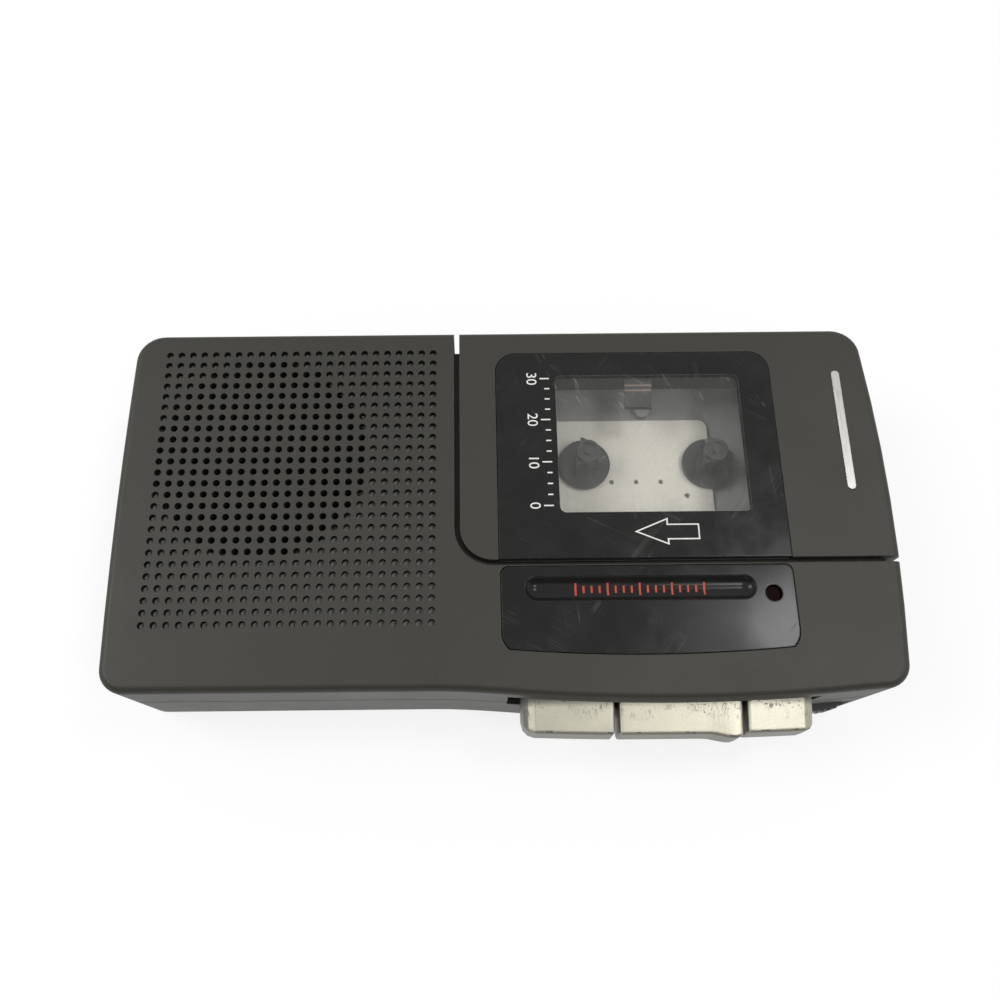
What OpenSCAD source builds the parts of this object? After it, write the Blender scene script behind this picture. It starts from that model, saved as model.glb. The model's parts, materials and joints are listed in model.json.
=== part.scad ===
// Microcassette recorder at real size, in millimetres.
// X runs from the speaker end to the cassette end, Y from the keys to the lid hinge, Z up from the base.

/* [Case] */
// Length of the case along X
case_l = 119.2; // [114:0.1:130]
// Width of the case across Y, without the keys
case_w = 58.1; // [56.6:0.1:64]
// Height of the case
case_h = 24; // [23.6:0.1:28]
// Thickness of the side walls
wall = 1.6; // [1.2:0.1:2]
// Thickness of the base
base_t = 1.5; // [1.2:0.1:2]
// Thickness of the front case's top face
top_t = 1.9; // [1.6:0.1:2.4]
// Plan radius of the far corners
corner_r = 4.5; // [4:0.1:6]
// Plan radius of the corners beside the keys
near_corner_r = 3.8; // [3:0.1:6]
// Rounding along the top edge
top_round = 1.2; // [0.6:0.1:1.5]
// Rounding along the base edge
base_round = 2.4; // [1:0.1:3.4]
// Height of the seam between front and rear case
seam_h = 14.4; // [13.8:0.1:15]
// Outward bow of the cassette end
bow_right = 1.6; // [0:0.1:2]
// Outward bow of the speaker end
bow_left = 0.5; // [0:0.05:1]
// Outward swell of the near wall behind the keys
swell = 1.65; // [0:0.05:2]

/* [Grille] */
// Pitch of the grille holes
grille_pitch = 1.85; // [1.6:0.05:2.4]
// Diameter of a grille hole
grille_hole_d = 1.1; // [0.6:0.05:1.2]
// Depth of the grille holes
grille_t = 1.1; // [0.6:0.1:1.2]
// Diameter of the opening over the speaker cone
speaker_open_d = 33.8; // [28:0.2:34.4]

/* [Lid] */
// Thickness of the lid's top
lid_t = 1.8; // [1.7:0.1:2.2]
// Left edge of the lid
lid_x = -6.75; // [-7.2:0.05:-6.4]
// Near edge of the lid
lid_y = -9.5; // [-10:0.1:-9]
// Radius of the lid's free corner
lid_corner_r = 5; // [3:0.5:7]
// Gap between lid and front case
lid_gap = 0.85; // [0.6:0.05:1]
// Thickness of the clear window panel
window_t = 1; // [0.7:0.05:1.05]
// Radius of the hinge barrel
barrel_r = 1.6; // [1.5:0.05:1.8]
// Radius of the hinge pins
hinge_pin_r = 0.6; // [0.5:0.05:0.8]

/* [Keys] */
// How far the keys stand out at their middle
key_out = 4.6; // [3:0.1:6]
// Travel of a key
key_travel = 2.8; // [2:0.1:3]
// Height of a key
key_h = 7; // [6:0.1:7.2]
// Gap between neighbouring keys
key_gap = 0.65; // [0.4:0.05:0.9]

/* [Mechanism] */
// Distance between the two spindles
spindle_pitch = 20.8; // [19:0.1:22]
// Height of the cassette deck above the base
deck_z = 12; // [11.8:0.1:12.2]
// Height of the spindles above the deck
spindle_h = 7; // [6:0.1:7.6]
// Radius of the reel tables
reel_r = 4.3; // [3.6:0.1:4.6]
// Radius of the flywheel
flywheel_r = 11; // [9:0.1:12]
// Radius of the capstan
capstan_r = 0.75; // [0.6:0.05:1]
// Radius of the pinch roller
pinch_r = 2.8; // [2.2:0.1:3.2]
// Radius of the motor can
motor_r = 8; // [7:0.1:8.6]
// Height of the motor can
motor_h = 11; // [8:0.5:12]
// Running clearance of a shaft in its bore
run_gap = 0.05; // [0.03:0.01:0.08]

/* [Electrics] */
// Diameter of a battery cell
cell_d = 14.2; // [13.6:0.1:14.3]
// Length of a battery cell with its nub
cell_l = 49.8; // [48:0.1:50.2]
// Radius of the volume dial
dial_r = 7; // [6:0.1:7.4]
// How far the volume dial stands out of the wall
dial_out = 1.2; // [0.8:0.1:1.6]
// Radius of the earphone and microphone sockets
jack_r = 1.8; // [1.3:0.05:1.9]
// Radius of the supply inlet
inlet_r = 2.1; // [1.8:0.05:2.3]
// Depth of the speaker from its rim to the magnet's back
speaker_depth = 5.5; // [4.5:0.1:5.6]

/* [Hidden] */
$fn = 48;
big = 300;
eps = 0.01;
fine_fn = 720;

// How far a rib or column runs into the wall that carries it
bite = 0.4;

// Small clearances: between flat faces, beside a sliding piece, between moving round faces
face_gap = 0.3;
slide_gap = 0.2;
round_gap = 0.3;
seat_gap = 0.05;

// Width and depth of the groove along the seam
seam_groove = 0.3;

// Middle of the cassette bay, outer faces of the long walls, and the line from which inner pieces are placed
bay_x = 24.4;
mid_y = 0.23;
far_wall = mid_y + case_w / 2;
near_wall = mid_y - case_w / 2;
far_y = far_wall - 0.58;

// Heights of the main faces
top_in = case_h - top_t;
lid_in = case_h - lid_t;
chassis_t = 1.6;
deck_t = 0.8;
chassis_top = deck_z - deck_t;
chassis_bottom = chassis_top - chassis_t;
board_t = 1;
board_bottom = base_t + 1.1;
board_top = board_bottom + board_t;
chip_t = 1.5;
can_r = 2;
can_h = 4.6;
board_y = [9.2 - far_y, far_y - 4.7];

// Plan of the case
swell_x = bay_x + 0.6;
swell_half = 31;
swell_blend = 0.4;
swell_start = swell_x - swell_half * sqrt(1 + swell_blend);
corner_steps = 9;
near_steps = 24;
end_steps = 6;
function blend(p) = p >= swell_blend ? p : p <= -swell_blend ? 0 : pow(p + swell_blend, 2) / (4 * swell_blend);
function near_y(x) = near_wall - swell * blend(1 - pow((x - swell_x) / swell_half, 2));
function end_x(y, bow) = case_l / 2 - bow * pow(2 * (y - mid_y) / case_w, 2);
flat_y = far_wall - corner_r;
flat_near_y = near_wall + near_corner_r;
right_cx = end_x(flat_y, bow_right) - corner_r;
left_cx = corner_r - end_x(flat_y, bow_left);
right_near_cx = end_x(flat_near_y, bow_right) - near_corner_r;
left_near_cx = near_corner_r - end_x(flat_near_y, bow_left);
right_near_cy = near_y(right_near_cx) + near_corner_r;
left_near_cy = near_y(left_near_cx) + near_corner_r;
function corner(cx, cy, r, start) =
    [for (i = [0:corner_steps]) let (a = start + 90 * i / corner_steps) [cx + r * cos(a), cy + r * sin(a)]];
plan = concat(
    [for (i = [0:near_steps - 1]) let (x = swell_start + (right_near_cx - swell_start) * i / near_steps)
        [x, near_y(x)]],
    corner(right_near_cx, right_near_cy, near_corner_r, -90),
    [for (i = [1:end_steps - 1]) let (y = right_near_cy + (flat_y - right_near_cy) * i / end_steps)
        [end_x(y, bow_right), y]],
    corner(right_cx, flat_y, corner_r, 0),
    corner(left_cx, flat_y, corner_r, 90),
    [for (i = [1:end_steps - 1]) let (y = flat_y + (left_near_cy - flat_y) * i / end_steps)
        [-end_x(y, bow_left), y]],
    corner(left_near_cx, left_near_cy, near_corner_r, 180));
plan_n = len(plan);
function outward(i) =
    let (d = plan[(i + 1) % plan_n] - plan[(i + plan_n - 1) % plan_n])
    [d.y, -d.x] / norm(d);
function plan_in(inset) = [for (i = [0:plan_n - 1]) plan[i] - inset * outward(i)];

// Rings of the case from base to top: set-in and height
round_steps = 6;
case_rings = concat(
    [for (k = [0:round_steps]) let (a = 90 * k / round_steps)
        [base_round * (1 - sin(a)), base_round * (1 - cos(a))]],
    [for (k = [0:round_steps]) let (a = 90 * k / round_steps)
        [top_round * (1 - cos(a)), case_h - top_round * (1 - sin(a))]]);

// Grille field
grille_edge = 6.08;
grille_x0 = -case_l / 2 + grille_edge;
grille_y1 = far_y - 3.31;
grille_near_margin = 9.6;
grille_right_margin = 3;
grille_cols = floor((lid_x - lid_gap - grille_right_margin - grille_x0) / grille_pitch) + 1;
grille_rows = floor((grille_y1 - near_wall - grille_near_margin) / grille_pitch) + 1;
panel_x0 = -case_l / 2 + 3;
panel_x1 = lid_x - lid_gap - 0.8;
panel_y = far_y - 2.2;
panel_r = 3;
speaker_x = -case_l / 2 + 21.8;
speaker_y = far_y - 20.9;

// Lid, window and hinge
barrel_inset = 0.05;
hinge_y = far_wall - barrel_r - barrel_inset;
hinge_z = seam_h + face_gap + barrel_r;
lug_w = 4;
lug_r = barrel_r - 0.15;
lug_xs = [bay_x - 20.4, bay_x + 19.6];
lug_notch = 0.4;
hinge_pin_l = lug_w + 6;
pin_play = 0.02;
ledge_w = 1;
ledge_t = 1;
skirt_t = 1.2;
ledge_far_y = far_y - 2.3;
ledge_top = lid_in - face_gap;
pane_x = [bay_x - 25.3, bay_x + 18.6];
pane_far_y = far_y - 3.6;
pane_r = 3.2;
pane_edge = 0.1;
mask_t = 0.2;
clear_x = [bay_x - 15.85, bay_x + 13.47];
clear_y = [far_y - 30.83, far_y - 7.6];
clear_r = 1;
aperture_edge = 1.1;
trim_x = case_l / 2 - 6.05;
trim_y = [far_y - 27.5, far_y - 7.2];
trim_w = 1.3;
trim_t = 0.3;
trim_proud = 0.1;
leaf_x = bay_x - 2.1;
leaf_t = 0.2;
leaf_w = 4.4;
leaf_root = 2;
leaf_reach = 4.6;
leaf_drop = 1.9;
leaf_tip = 0.7;

// Front plate, scoop and lamp
plate_t = 1.6;
plate_edge = 0.2;
plate_x = [pane_x[0] + plate_edge, pane_x[1] - plate_edge];
plate_top_y = lid_y - lid_gap - 0.3;
plate_low_y = 4.8 - far_y;
plate_r = 3.5;
plate_top_r = 1.2;
plate_bow_r = 240;
plate_gap = 0.12;
pad_t = 1.2;
pad_edge = 1.6;
scoop_x = [plate_x[0] + 3.53, plate_x[1] - 5.66];
scoop_y = plate_top_y - 3.38;
scoop_half = 1.89;
scoop_depth = 1;
scoop_r = (scoop_half * scoop_half + scoop_depth * scoop_depth) / (2 * scoop_depth);
lamp_x = plate_x[1] - 3.16;
lamp_y = scoop_y - 0.99;
lamp_r = 1.2;
lamp_flange = 0.5;
lamp_flange_t = 1.2;
lamp_sink = 0.6;

// Keys
key_x0 = bay_x - 22.3;
key_ws = [13.65, 18.2, 10];
key_round = [[2, 0.4], [0.4, 0.4], [0.4, 1.6]];
key_bow_r = 500;
key_mid_x = bay_x - 0.4;
key_top = case_h - 3.8;
key_bottom = key_top - key_h;
key_slope = 1.5;
key_nose_r = 0.5;
key_foot_r = 0.6;
key_lean = 0.25;
key_edge_in = 0.4;
key_in_y = 0.7 - far_y;
key_out_y = near_y(key_mid_x) - key_out;
key_end_gap = 0.8;
key_open_top = key_top + face_gap;
key_open_bottom = key_bottom - face_gap;
function key_start(i) = i == 0 ? key_x0 : key_start(i - 1) + key_ws[i - 1] + key_gap;
key_end = key_start(2) + key_ws[2];
key_open_x = [key_x0 - 2, key_end + key_end_gap];
key_open_depth = wall + 2;
ridge_x = key_start(1) + 17.1;
ridge_h = 0.65;
ridge_ramp = 4.2;
ridge_fall = 2;
tongue_w = 7;
tongue_t = 2;
tongue_z = key_top - 4.8;
rail_t = 1.5;
rail_edge = 1.2;
rail_over = 1;
rail_y = key_in_y + key_travel + 0.8;
tongue_end_y = rail_y + rail_t + 2.5;
spring_r = 1.1;
spring_wire_r = 0.18;
spring_turns = 5;
spring_bore_r = spring_r + spring_wire_r + round_gap;
spring_z = key_bottom + 0.2;
spring_pocket = 0.7;
peg_root = 0.1;
peg_l = 1;
peg_gap = 0.1;

// Cassette bay, deck and spindles
bay_half = 25.5;
bay_wall = 1.3;
bay_near_y = far_y - 36.7;
bay_far_y = far_y - 3.7;
bay_wall_top = case_h - 3.6;
bay_left = bay_x - bay_half - bay_wall;
bay_right = bay_x + bay_half + bay_wall;
spindle_y = far_y - 18.5;
takeup_x = bay_x - spindle_pitch / 2;
supply_x = bay_x + spindle_pitch / 2;
neck_r = 2;
hub_r = 1.9;
fin_r = 2.9;
fin_w = 1;
fin_drop = 0.8;
fin_turn = 110;
cup_wall = 0.45;
cup_depth = 0.5;
cup_pin_r = 0.6;
table_t = 0.9;
reel_wheel_r = [5, 4];
wheel_t = 1.6;
wheel_z = chassis_bottom - face_gap - wheel_t;
deck_x = [bay_x - 22.4, bay_x + 11.05];
deck_y = [rail_y + rail_t + 1.7, far_y - 10.1];
deck_corner_r = 1.5;
deck_hole_gap = 0.4;
deck_hole_r = 0.45;
deck_hole = [bay_x + 6.7, spindle_y - 5.4];
deck_dot_r = 0.4;
deck_dots = [bay_x - 1.7, spindle_y - 2.9];
deck_dot_pitch = 4.15;
guide_proud = 0.6;

// Battery bay
bay_gap = 0.5;
cell_gap = 0.4;
cell_r = cell_d / 2;
cell_z = base_t + cell_gap + cell_r;
contact_room = 2.2;
contact_low = 6;
contact_foot = 4.4;
contact_high = 5;
contact_face = 1;
cell_y = wall + contact_room + cell_l / 2 - far_y;
left_in = -case_l / 2 + wall;
end_gap = 1.1;
cell_x0 = left_in + end_gap + cell_r;
cell_pitch = cell_d + cell_gap;
partition_t = 1.2;
partition_x = cell_x0 + cell_pitch + cell_r + bay_gap;
nub_l = 1.2;
nub_r = 2.6;
cover_half = far_y - 4.7;
cover_x1 = partition_x - 0.6;
cover_end_h = 5;
tongue_proud = 0.6;
tongue_short = 3;
grip_start = 4.2;
grip_pitch = 1.6;
grip_w = 0.8;
grip_half = 9;
grip_depth = 0.4;
cover_tongue_z = [0.5, 1];
contact_w = 8.6;
contact_t = 0.4;

// Capstan drive
capstan_x = bay_x - 12.9;
capstan_y = far_y - 32.1;
flywheel_t = 2.4;
capstan_tail = 0.5;
flywheel_z = board_top + 1;
belt_t = 0.8;
belt_h = 0.8;
belt_z = flywheel_z + 0.8;
groove_depth = belt_t - 0.2;
drive_pulley_r = 3;
pulley_r = 2.3;
pulley_h = 2;
motor_x = (partition_x + partition_t + bay_left) / 2;
motor_y = capstan_y - 5.6;
motor_shaft_r = 0.75;
shaft_end_gap = 0.5;
motor_step = 2;
motor_cap = 0.6;
motor_z = flywheel_z + flywheel_t + 0.4;
idler_run = norm([takeup_x - capstan_x, spindle_y - capstan_y]);
idler_r = (idler_run - drive_pulley_r - reel_wheel_r[0]) / 2 - round_gap;
idler_share = (drive_pulley_r + round_gap + idler_r) / idler_run;
idler_x = capstan_x + (takeup_x - capstan_x) * idler_share;
idler_y = capstan_y + (spindle_y - capstan_y) * idler_share;
idler_pin_r = 0.7;
seat_edge = 1.6;
stop_pin_r = 1.2;
stop_pin_y = 10.1;
stop_pin_h = 0.6;

// Head slide, at rest with the play key out
slide_x = [bay_x - 19.4, bay_x + 10];
slide_far_y = bay_near_y;
slide_t = 0.8;
slide_z = deck_z + slide_gap;
slide_top = slide_z + slide_t;
tab_w = 8;
tab_t = 0.8;
tab_y = tongue_end_y + slide_gap;
guide_r = 1;
guide_xs = [bay_x - 15.9, bay_x + 6.6];
guide_y = tab_y + key_travel + guide_r + 0.9;
pinch_y = capstan_y - capstan_r - round_gap - pinch_r - key_travel;
pinch_pin_r = 0.7;
pinch_h = 4.2;
head_w = 7;
head_d = 5;
head_h = 4.5;
head_nose_r = 3;
head_step = 1;
head_back = 0.4;
erase_x = bay_x + 6.8;
erase_w = 3.4;

// Controls, sockets and screws
board_x0 = partition_x + partition_t + 7.4;
dial_x = case_l / 2 - 10.1;
dial_y = near_y(dial_x) - dial_out + dial_r;
dial_t = 3.2;
pot_r = 3.8;
pot_h = 2;
dial_z = board_top + pot_h + face_gap;
dial_ribs = 40;
dial_rib_r = 0.28;
dial_dish = 0.5;
dial_rim = 2;
dial_gap = 0.4;
dial_shaft_r = 1.5;
jack_ys = [-4.5, 5.5];
jack_w = 7;
jack_l = 8;
jack_z = board_top + 3;
jack_bore_l = 7;
jack_top = 2.8;
seat_back = 0.1;
collar_t = 0.9;
collar_in = 0.3;
collar_gap = 0.1;
right_in = end_x(0, bow_right) - wall;
socket_front_x = end_x(9, bow_right) - wall;
inlet_x = motor_x + 2.9;
inlet_w = 9;
inlet_l = 9;
inlet_bore_l = 6.5;
inlet_collar_t = 0.7;
inlet_pin_r = 0.6;
inlet_pin_l = 6.7;
inlet_z = board_top + 3.2;
switch_y = far_y - 14.5;
switch_w = 6.4;
switch_travel = 1.6;
knob_w = 2.4;
knob_h = 2;
knob_depth = 2.8;
knob_proud = 0.5;
knob_rib = 0.7;
knob_groove = 0.3;
switch_depth = [4.4, 0.6];
switch_h = 4.6;
switch_z = board_top + 2.4;
boss_r = 2.6;
pilot_r = 1.05;
screw_r = 1;
head_r = 2.2;
head_t = 1.3;
head_sink = 0.6;
cross_slot = [2.4, 0.5, 1.2];
screw_gap = 0.15;
screw_tips = [chassis_top + 1, seam_h + 3];
boss_x = partition_x + partition_t + 3.9;
long_bosses = [[boss_x, far_y - 5.2], [boss_x, 5.2 - far_y], [case_l / 2 - 5.6, 14.5 - far_y]];
short_boss = [case_l / 2 - 5.8, far_y - 7.3];
boss_split = 8;
post_r = 1.8;
chassis_posts = [[bay_x + 0.6, bay_far_y - 3.4], [bay_x + 0.6, rail_y + 5.8],
    [partition_x + partition_t + 5.8, spindle_y - 1.2]];
board_posts = [[motor_x + 2.4, spindle_y + 5.3], [bay_x + 21, spindle_y + 6.8],
    [motor_x + 2.4, board_y[0] + 2.5], [bay_x + 11.6, board_y[0] + 2.5]];
mic_r = 3;
mic_l = 5;
mic_y = 8.3 - far_y;
mic_z = case_h - 5.5;
mic_hole_r = 0.5;
mic_gap = 0.45;

// Speaker
speaker_rim_r = 18;
cone_r = 16.2;
rim_t = 1.6;
magnet_r = 7.4;
magnet_t = 2;
cone_t = 0.3;
seat_z = magnet_t - speaker_depth;
seat_w = 1;
basket_t = 0.6;
basket_hole_r = 2.6;
cone_drop = 0.5;
surround_w = 1.6;
cap_r = magnet_r - 2;
cap_edge = 0.8;
cap_top = 1.2;

// Rectangle with rounded corners, between two opposite corners
module rounded(x0, y0, x1, y1, r) {
    translate([x0 + r, y0]) square([x1 - x0 - 2 * r, y1 - y0]);
    translate([x0, y0 + r]) square([x1 - x0, y1 - y0 - 2 * r]);
    for (x = [x0 + r, x1 - r], y = [y0 + r, y1 - r]) translate([x, y]) circle(r);
}

// Block between two opposite corners
module block(a, b) {
    translate(a) cube(b - a);
}

// Closed surface through rings of the plan, each set in and at its own height, with a middle point in each cap
module loft(rings) {
    m = len(rings);
    top = (m - 1) * plan_n;
    points = concat([for (r = rings) for (p = plan_in(r[0])) [p.x, p.y, r[1]]],
        [for (r = [rings[0], rings[m - 1]]) [0, 0, r[1]]]);
    sides = [for (k = [0:m - 2], i = [0:plan_n - 1])
        let (a = k * plan_n + i, b = k * plan_n + (i + 1) % plan_n)
        each [[a, a + plan_n, b + plan_n], [a, b + plan_n, b]]];
    caps = [for (i = [0:plan_n - 1]) let (j = (i + 1) % plan_n)
        each [[m * plan_n, i, j], [m * plan_n + 1, top + j, top + i]]];
    polyhedron(points, concat(caps, sides));
}

// Outer form of the whole case
module case_form() {
    loft(case_rings);
}

// Upright prism inside the case, set in from its plan
module inside(inset, z0, z1) {
    translate([0, 0, z0]) linear_extrude(z1 - z0) polygon(plan_in(inset));
}

// Area of the lid in plan, grown outwards
module lid_area(grow) {
    rounded(lid_x - grow, lid_y - grow, big, big, lid_corner_r + grow);
}

// Area of the front plate in plan, grown outwards
module plate_area(grow) {
    intersection() {
        union() {
            rounded(plate_x[0] - grow, plate_low_y - grow, plate_x[1] + grow, plate_top_y + grow, plate_r);
            rounded(plate_x[0] - grow, (plate_low_y + plate_top_y) / 2, plate_x[1] + grow,
                plate_top_y + grow, plate_top_r);
        }
        translate([(plate_x[0] + plate_x[1]) / 2, plate_low_y - grow + plate_bow_r])
            circle(plate_bow_r, $fn = fine_fn);
    }
}

// Area of the window panel in plan, open to the lid's near edge
module pane_area(grow) {
    rounded(pane_x[0] - grow, lid_y + pane_edge - grow, pane_x[1] + grow, pane_far_y + grow, pane_r);
    translate([pane_x[0] - grow, lid_y + pane_edge - grow])
        square([pane_x[1] - pane_x[0] + 2 * grow, 2 * pane_r]);
}

// Recess of the window panel, open through the lid's near edge
module pane_recess() {
    pane_area(pane_edge);
    translate([pane_x[0] - pane_edge, lid_y - 1])
        square([pane_x[1] - pane_x[0] + 2 * pane_edge, 1 + pane_r]);
}

// Column from z0 to z1 about an upright axis
module column(x, y, r, z0, z1) {
    translate([x, y, z0]) cylinder(r = r, h = z1 - z0);
}

// Screw column with a pilot bore that stops below z1
module boss(p, z0, z1) {
    difference() {
        column(p.x, p.y, boss_r, z0, z1);
        column(p.x, p.y, pilot_r, z0 - 1, z1 - 1.5);
    }
}

// Front case: the top shell left of and below the lid
module front_case() color([0.2, 0.2, 0.19]) {
    difference() {
        union() {
            difference() {
                intersection() {
                    case_form();
                    block([-big, -big, seam_h], [big, big, big]);
                }
                inside(wall, seam_h - 1, top_in);
            }
            intersection() {
                inside(wall - bite, seam_h, top_in + bite);
                union() {
                    translate([0, 0, ledge_top - ledge_t]) linear_extrude(top_in - ledge_top + ledge_t + bite)
                        difference() {
                            lid_area(lid_gap + skirt_t);
                            lid_area(lid_gap);
                        }
                    translate([0, 0, case_h - plate_t - pad_t]) linear_extrude(pad_t)
                        plate_area(pad_edge);
                }
            }
            intersection() {
                inside(wall + face_gap, seam_h, case_h);
                block([-big, -big, seam_h], [big, ledge_far_y, big]);
                translate([0, 0, ledge_top - ledge_t]) linear_extrude(ledge_t)
                    difference() {
                        lid_area(lid_gap + skirt_t);
                        lid_area(-ledge_w);
                    }
            }
            for (p = long_bosses) boss(p, boss_split, top_in + bite);
        }
        translate([0, 0, ledge_top]) linear_extrude(big) lid_area(lid_gap);
        block([lid_x - lid_gap, ledge_far_y, seam_h - 1], [big, big, big]);
        difference() {
            translate([0, 0, seam_h - 1]) linear_extrude(big) lid_area(lid_gap);
            inside(wall + face_gap / 2, seam_h - 2, big);
        }
        difference() {
            block([-big, -big, seam_h - 1], [big, big, seam_h + seam_groove]);
            inside(seam_groove, seam_h - 2, seam_h + 1);
        }
        block([key_open_x[0], -big, seam_h - 1], [key_open_x[1], key_in_y + key_open_depth, key_open_top]);
        translate([0, 0, case_h - grille_t]) linear_extrude(big) panel_area();
        column(speaker_x, speaker_y, speaker_open_d / 2, top_in - 1, big);
        translate([0, 0, case_h - plate_t]) linear_extrude(big) plate_area(plate_gap);
        column(lamp_x, lamp_y, lamp_r + seat_gap, top_in - pad_t - 2, big);
        for (a = [0:120:240])
            translate([right_in - 2, mic_y + cos(a), mic_z + sin(a)]) rotate([0, 90, 0])
                cylinder(r = mic_hole_r, h = wall + 6);
    }
}

// Area of the perforated field in plan
module panel_area() {
    rounded(panel_x0, -panel_y, panel_x1, panel_y, panel_r);
}

// Speaker grille: a square lattice of fine holes over the whole speaker end
module speaker_grille() color([0.2, 0.2, 0.19])
    translate([0, 0, case_h - grille_t]) linear_extrude(grille_t) difference() {
        panel_area();
        for (i = [0:grille_cols - 1], j = [0:grille_rows - 1])
            translate([grille_x0 + i * grille_pitch, grille_y1 - j * grille_pitch])
                circle(d = grille_hole_d, $fn = 16);
    }

// Front plate: glossy insert with a rounded thumb scoop
module front_plate() color([0.1, 0.1, 0.1])
    difference() {
        translate([0, 0, case_h - plate_t]) linear_extrude(plate_t) plate_area(0);
        translate([scoop_x[0] + scoop_half, scoop_y, case_h - scoop_depth + scoop_r]) rotate([0, 90, 0])
            cylinder(r = scoop_r, h = scoop_x[1] - scoop_x[0] - 2 * scoop_half, $fn = 96);
        for (x = [scoop_x[0] + scoop_half, scoop_x[1] - scoop_half])
            translate([x, scoop_y, case_h - scoop_depth + scoop_r]) sphere(scoop_r, $fn = 96);
        column(lamp_x, lamp_y, lamp_r + seat_gap, case_h - plate_t - 1, big);
    }

// Space taken out of the rear case for the battery cover
module cover_space(gap) {
    block([-big, -cover_half - gap, -1], [cover_x1 + gap, cover_half + gap, base_t + eps]);
    block([-big, -cover_half - gap, -1], [left_in + end_gap, cover_half + gap, cover_end_h + gap]);
    block([-big, -cover_half - tongue_proud - gap, cover_tongue_z[0] - gap],
        [cover_x1 - tongue_short + gap, cover_half + tongue_proud + gap, cover_tongue_z[1] + gap]);
}

// Slot in which the switch knob slides, from x0 outwards
module knob_path(x0) {
    half_y = knob_w / 2 + switch_travel + slide_gap;
    half_z = knob_h / 2 + slide_gap;
    block([x0, switch_y - half_y, switch_z - half_z], [big, switch_y + half_y, switch_z + half_z]);
}

// Hinge lug that stands on the rear wall
module hinge_lug(x) {
    difference() {
        translate([x - lug_w / 2, 0, 0]) rotate([90, 0, 90]) linear_extrude(lug_w) {
            translate([hinge_y, hinge_z]) circle(lug_r);
            translate([hinge_y - lug_r, seam_h - 2]) square([2 * lug_r, hinge_z - seam_h + 2]);
        }
        translate([x - lug_w, hinge_y, hinge_z]) rotate([0, 90, 0])
            cylinder(r = hinge_pin_r + run_gap, h = 2 * lug_w);
    }
}

// Rear case: the lower shell with battery bay, screw columns and hinge lugs
module rear_case() color([0.2, 0.2, 0.19]) {
    difference() {
        union() {
            difference() {
                intersection() {
                    case_form();
                    block([-big, -big, -1], [big, big, seam_h]);
                }
                inside(wall, base_t, seam_h + 1);
            }
            intersection() {
                inside(wall - bite, 0, seam_h);
                block([partition_x, -big, base_t - bite], [partition_x + partition_t, big, seam_h]);
            }
            for (p = long_bosses) column(p.x, p.y, boss_r, base_t - bite, boss_split - face_gap);
            column(short_boss.x, short_boss.y, boss_r, base_t - bite, chassis_bottom);
            for (p = chassis_posts) column(p.x, p.y, post_r, base_t - bite, chassis_bottom);
            for (p = board_posts) column(p.x, p.y, post_r, base_t - bite, board_bottom);
            for (x = lug_xs) hinge_lug(x);
        }
        cover_space(slide_gap);
        for (p = concat(long_bosses, [short_boss])) {
            column(p.x, p.y, head_r + slide_gap, -1, head_sink + head_t);
            column(p.x, p.y, screw_r + screw_gap, -1, chassis_bottom + 1);
        }
        for (y = jack_ys)
            translate([right_in - 3, y, jack_z]) rotate([0, 90, 0])
                cylinder(r = jack_r + collar_t + collar_gap, h = wall + 6);
        translate([inlet_x, far_wall - wall - 2, inlet_z]) rotate([-90, 0, 0])
            cylinder(r = inlet_r + inlet_collar_t + collar_gap, h = wall + 5);
        knob_path(right_in - 3);
        column(dial_x, dial_y, dial_r + dial_gap, dial_z - face_gap, dial_z + dial_t + face_gap);
        block([key_open_x[0], -big, key_open_bottom], [key_open_x[1], key_in_y + key_open_depth, big]);
    }
}

// Battery cover: slides off past the speaker end on two edge tongues
module battery_cover() color([0.08, 0.08, 0.08])
    difference() {
        intersection() {
            case_form();
            union() {
                block([-big, -cover_half, -1], [cover_x1, cover_half, base_t]);
                block([-big, -cover_half, -1], [left_in - slide_gap, cover_half, cover_end_h]);
                block([-big, -cover_half - tongue_proud, cover_tongue_z[0]],
                    [cover_x1 - tongue_short, cover_half + tongue_proud, cover_tongue_z[1]]);
            }
        }
        for (i = [0:4]) {
            x = cover_x1 - grip_start - grip_pitch * i;
            block([x - grip_w, -grip_half, -1], [x, grip_half, grip_depth]);
        }
    }

// Case screws, sunk in the base
module case_screws() color([0.35, 0.35, 0.36])
    for (p = concat(long_bosses, [short_boss]))
        difference() {
            union() {
                column(p.x, p.y, head_r, head_sink, head_sink + head_t);
                column(p.x, p.y, screw_r, head_sink, p == short_boss ? screw_tips[0] : screw_tips[1]);
            }
            for (a = [0, 90])
                translate([p.x, p.y, head_sink]) rotate(a) cube(cross_slot, center = true);
        }

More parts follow.
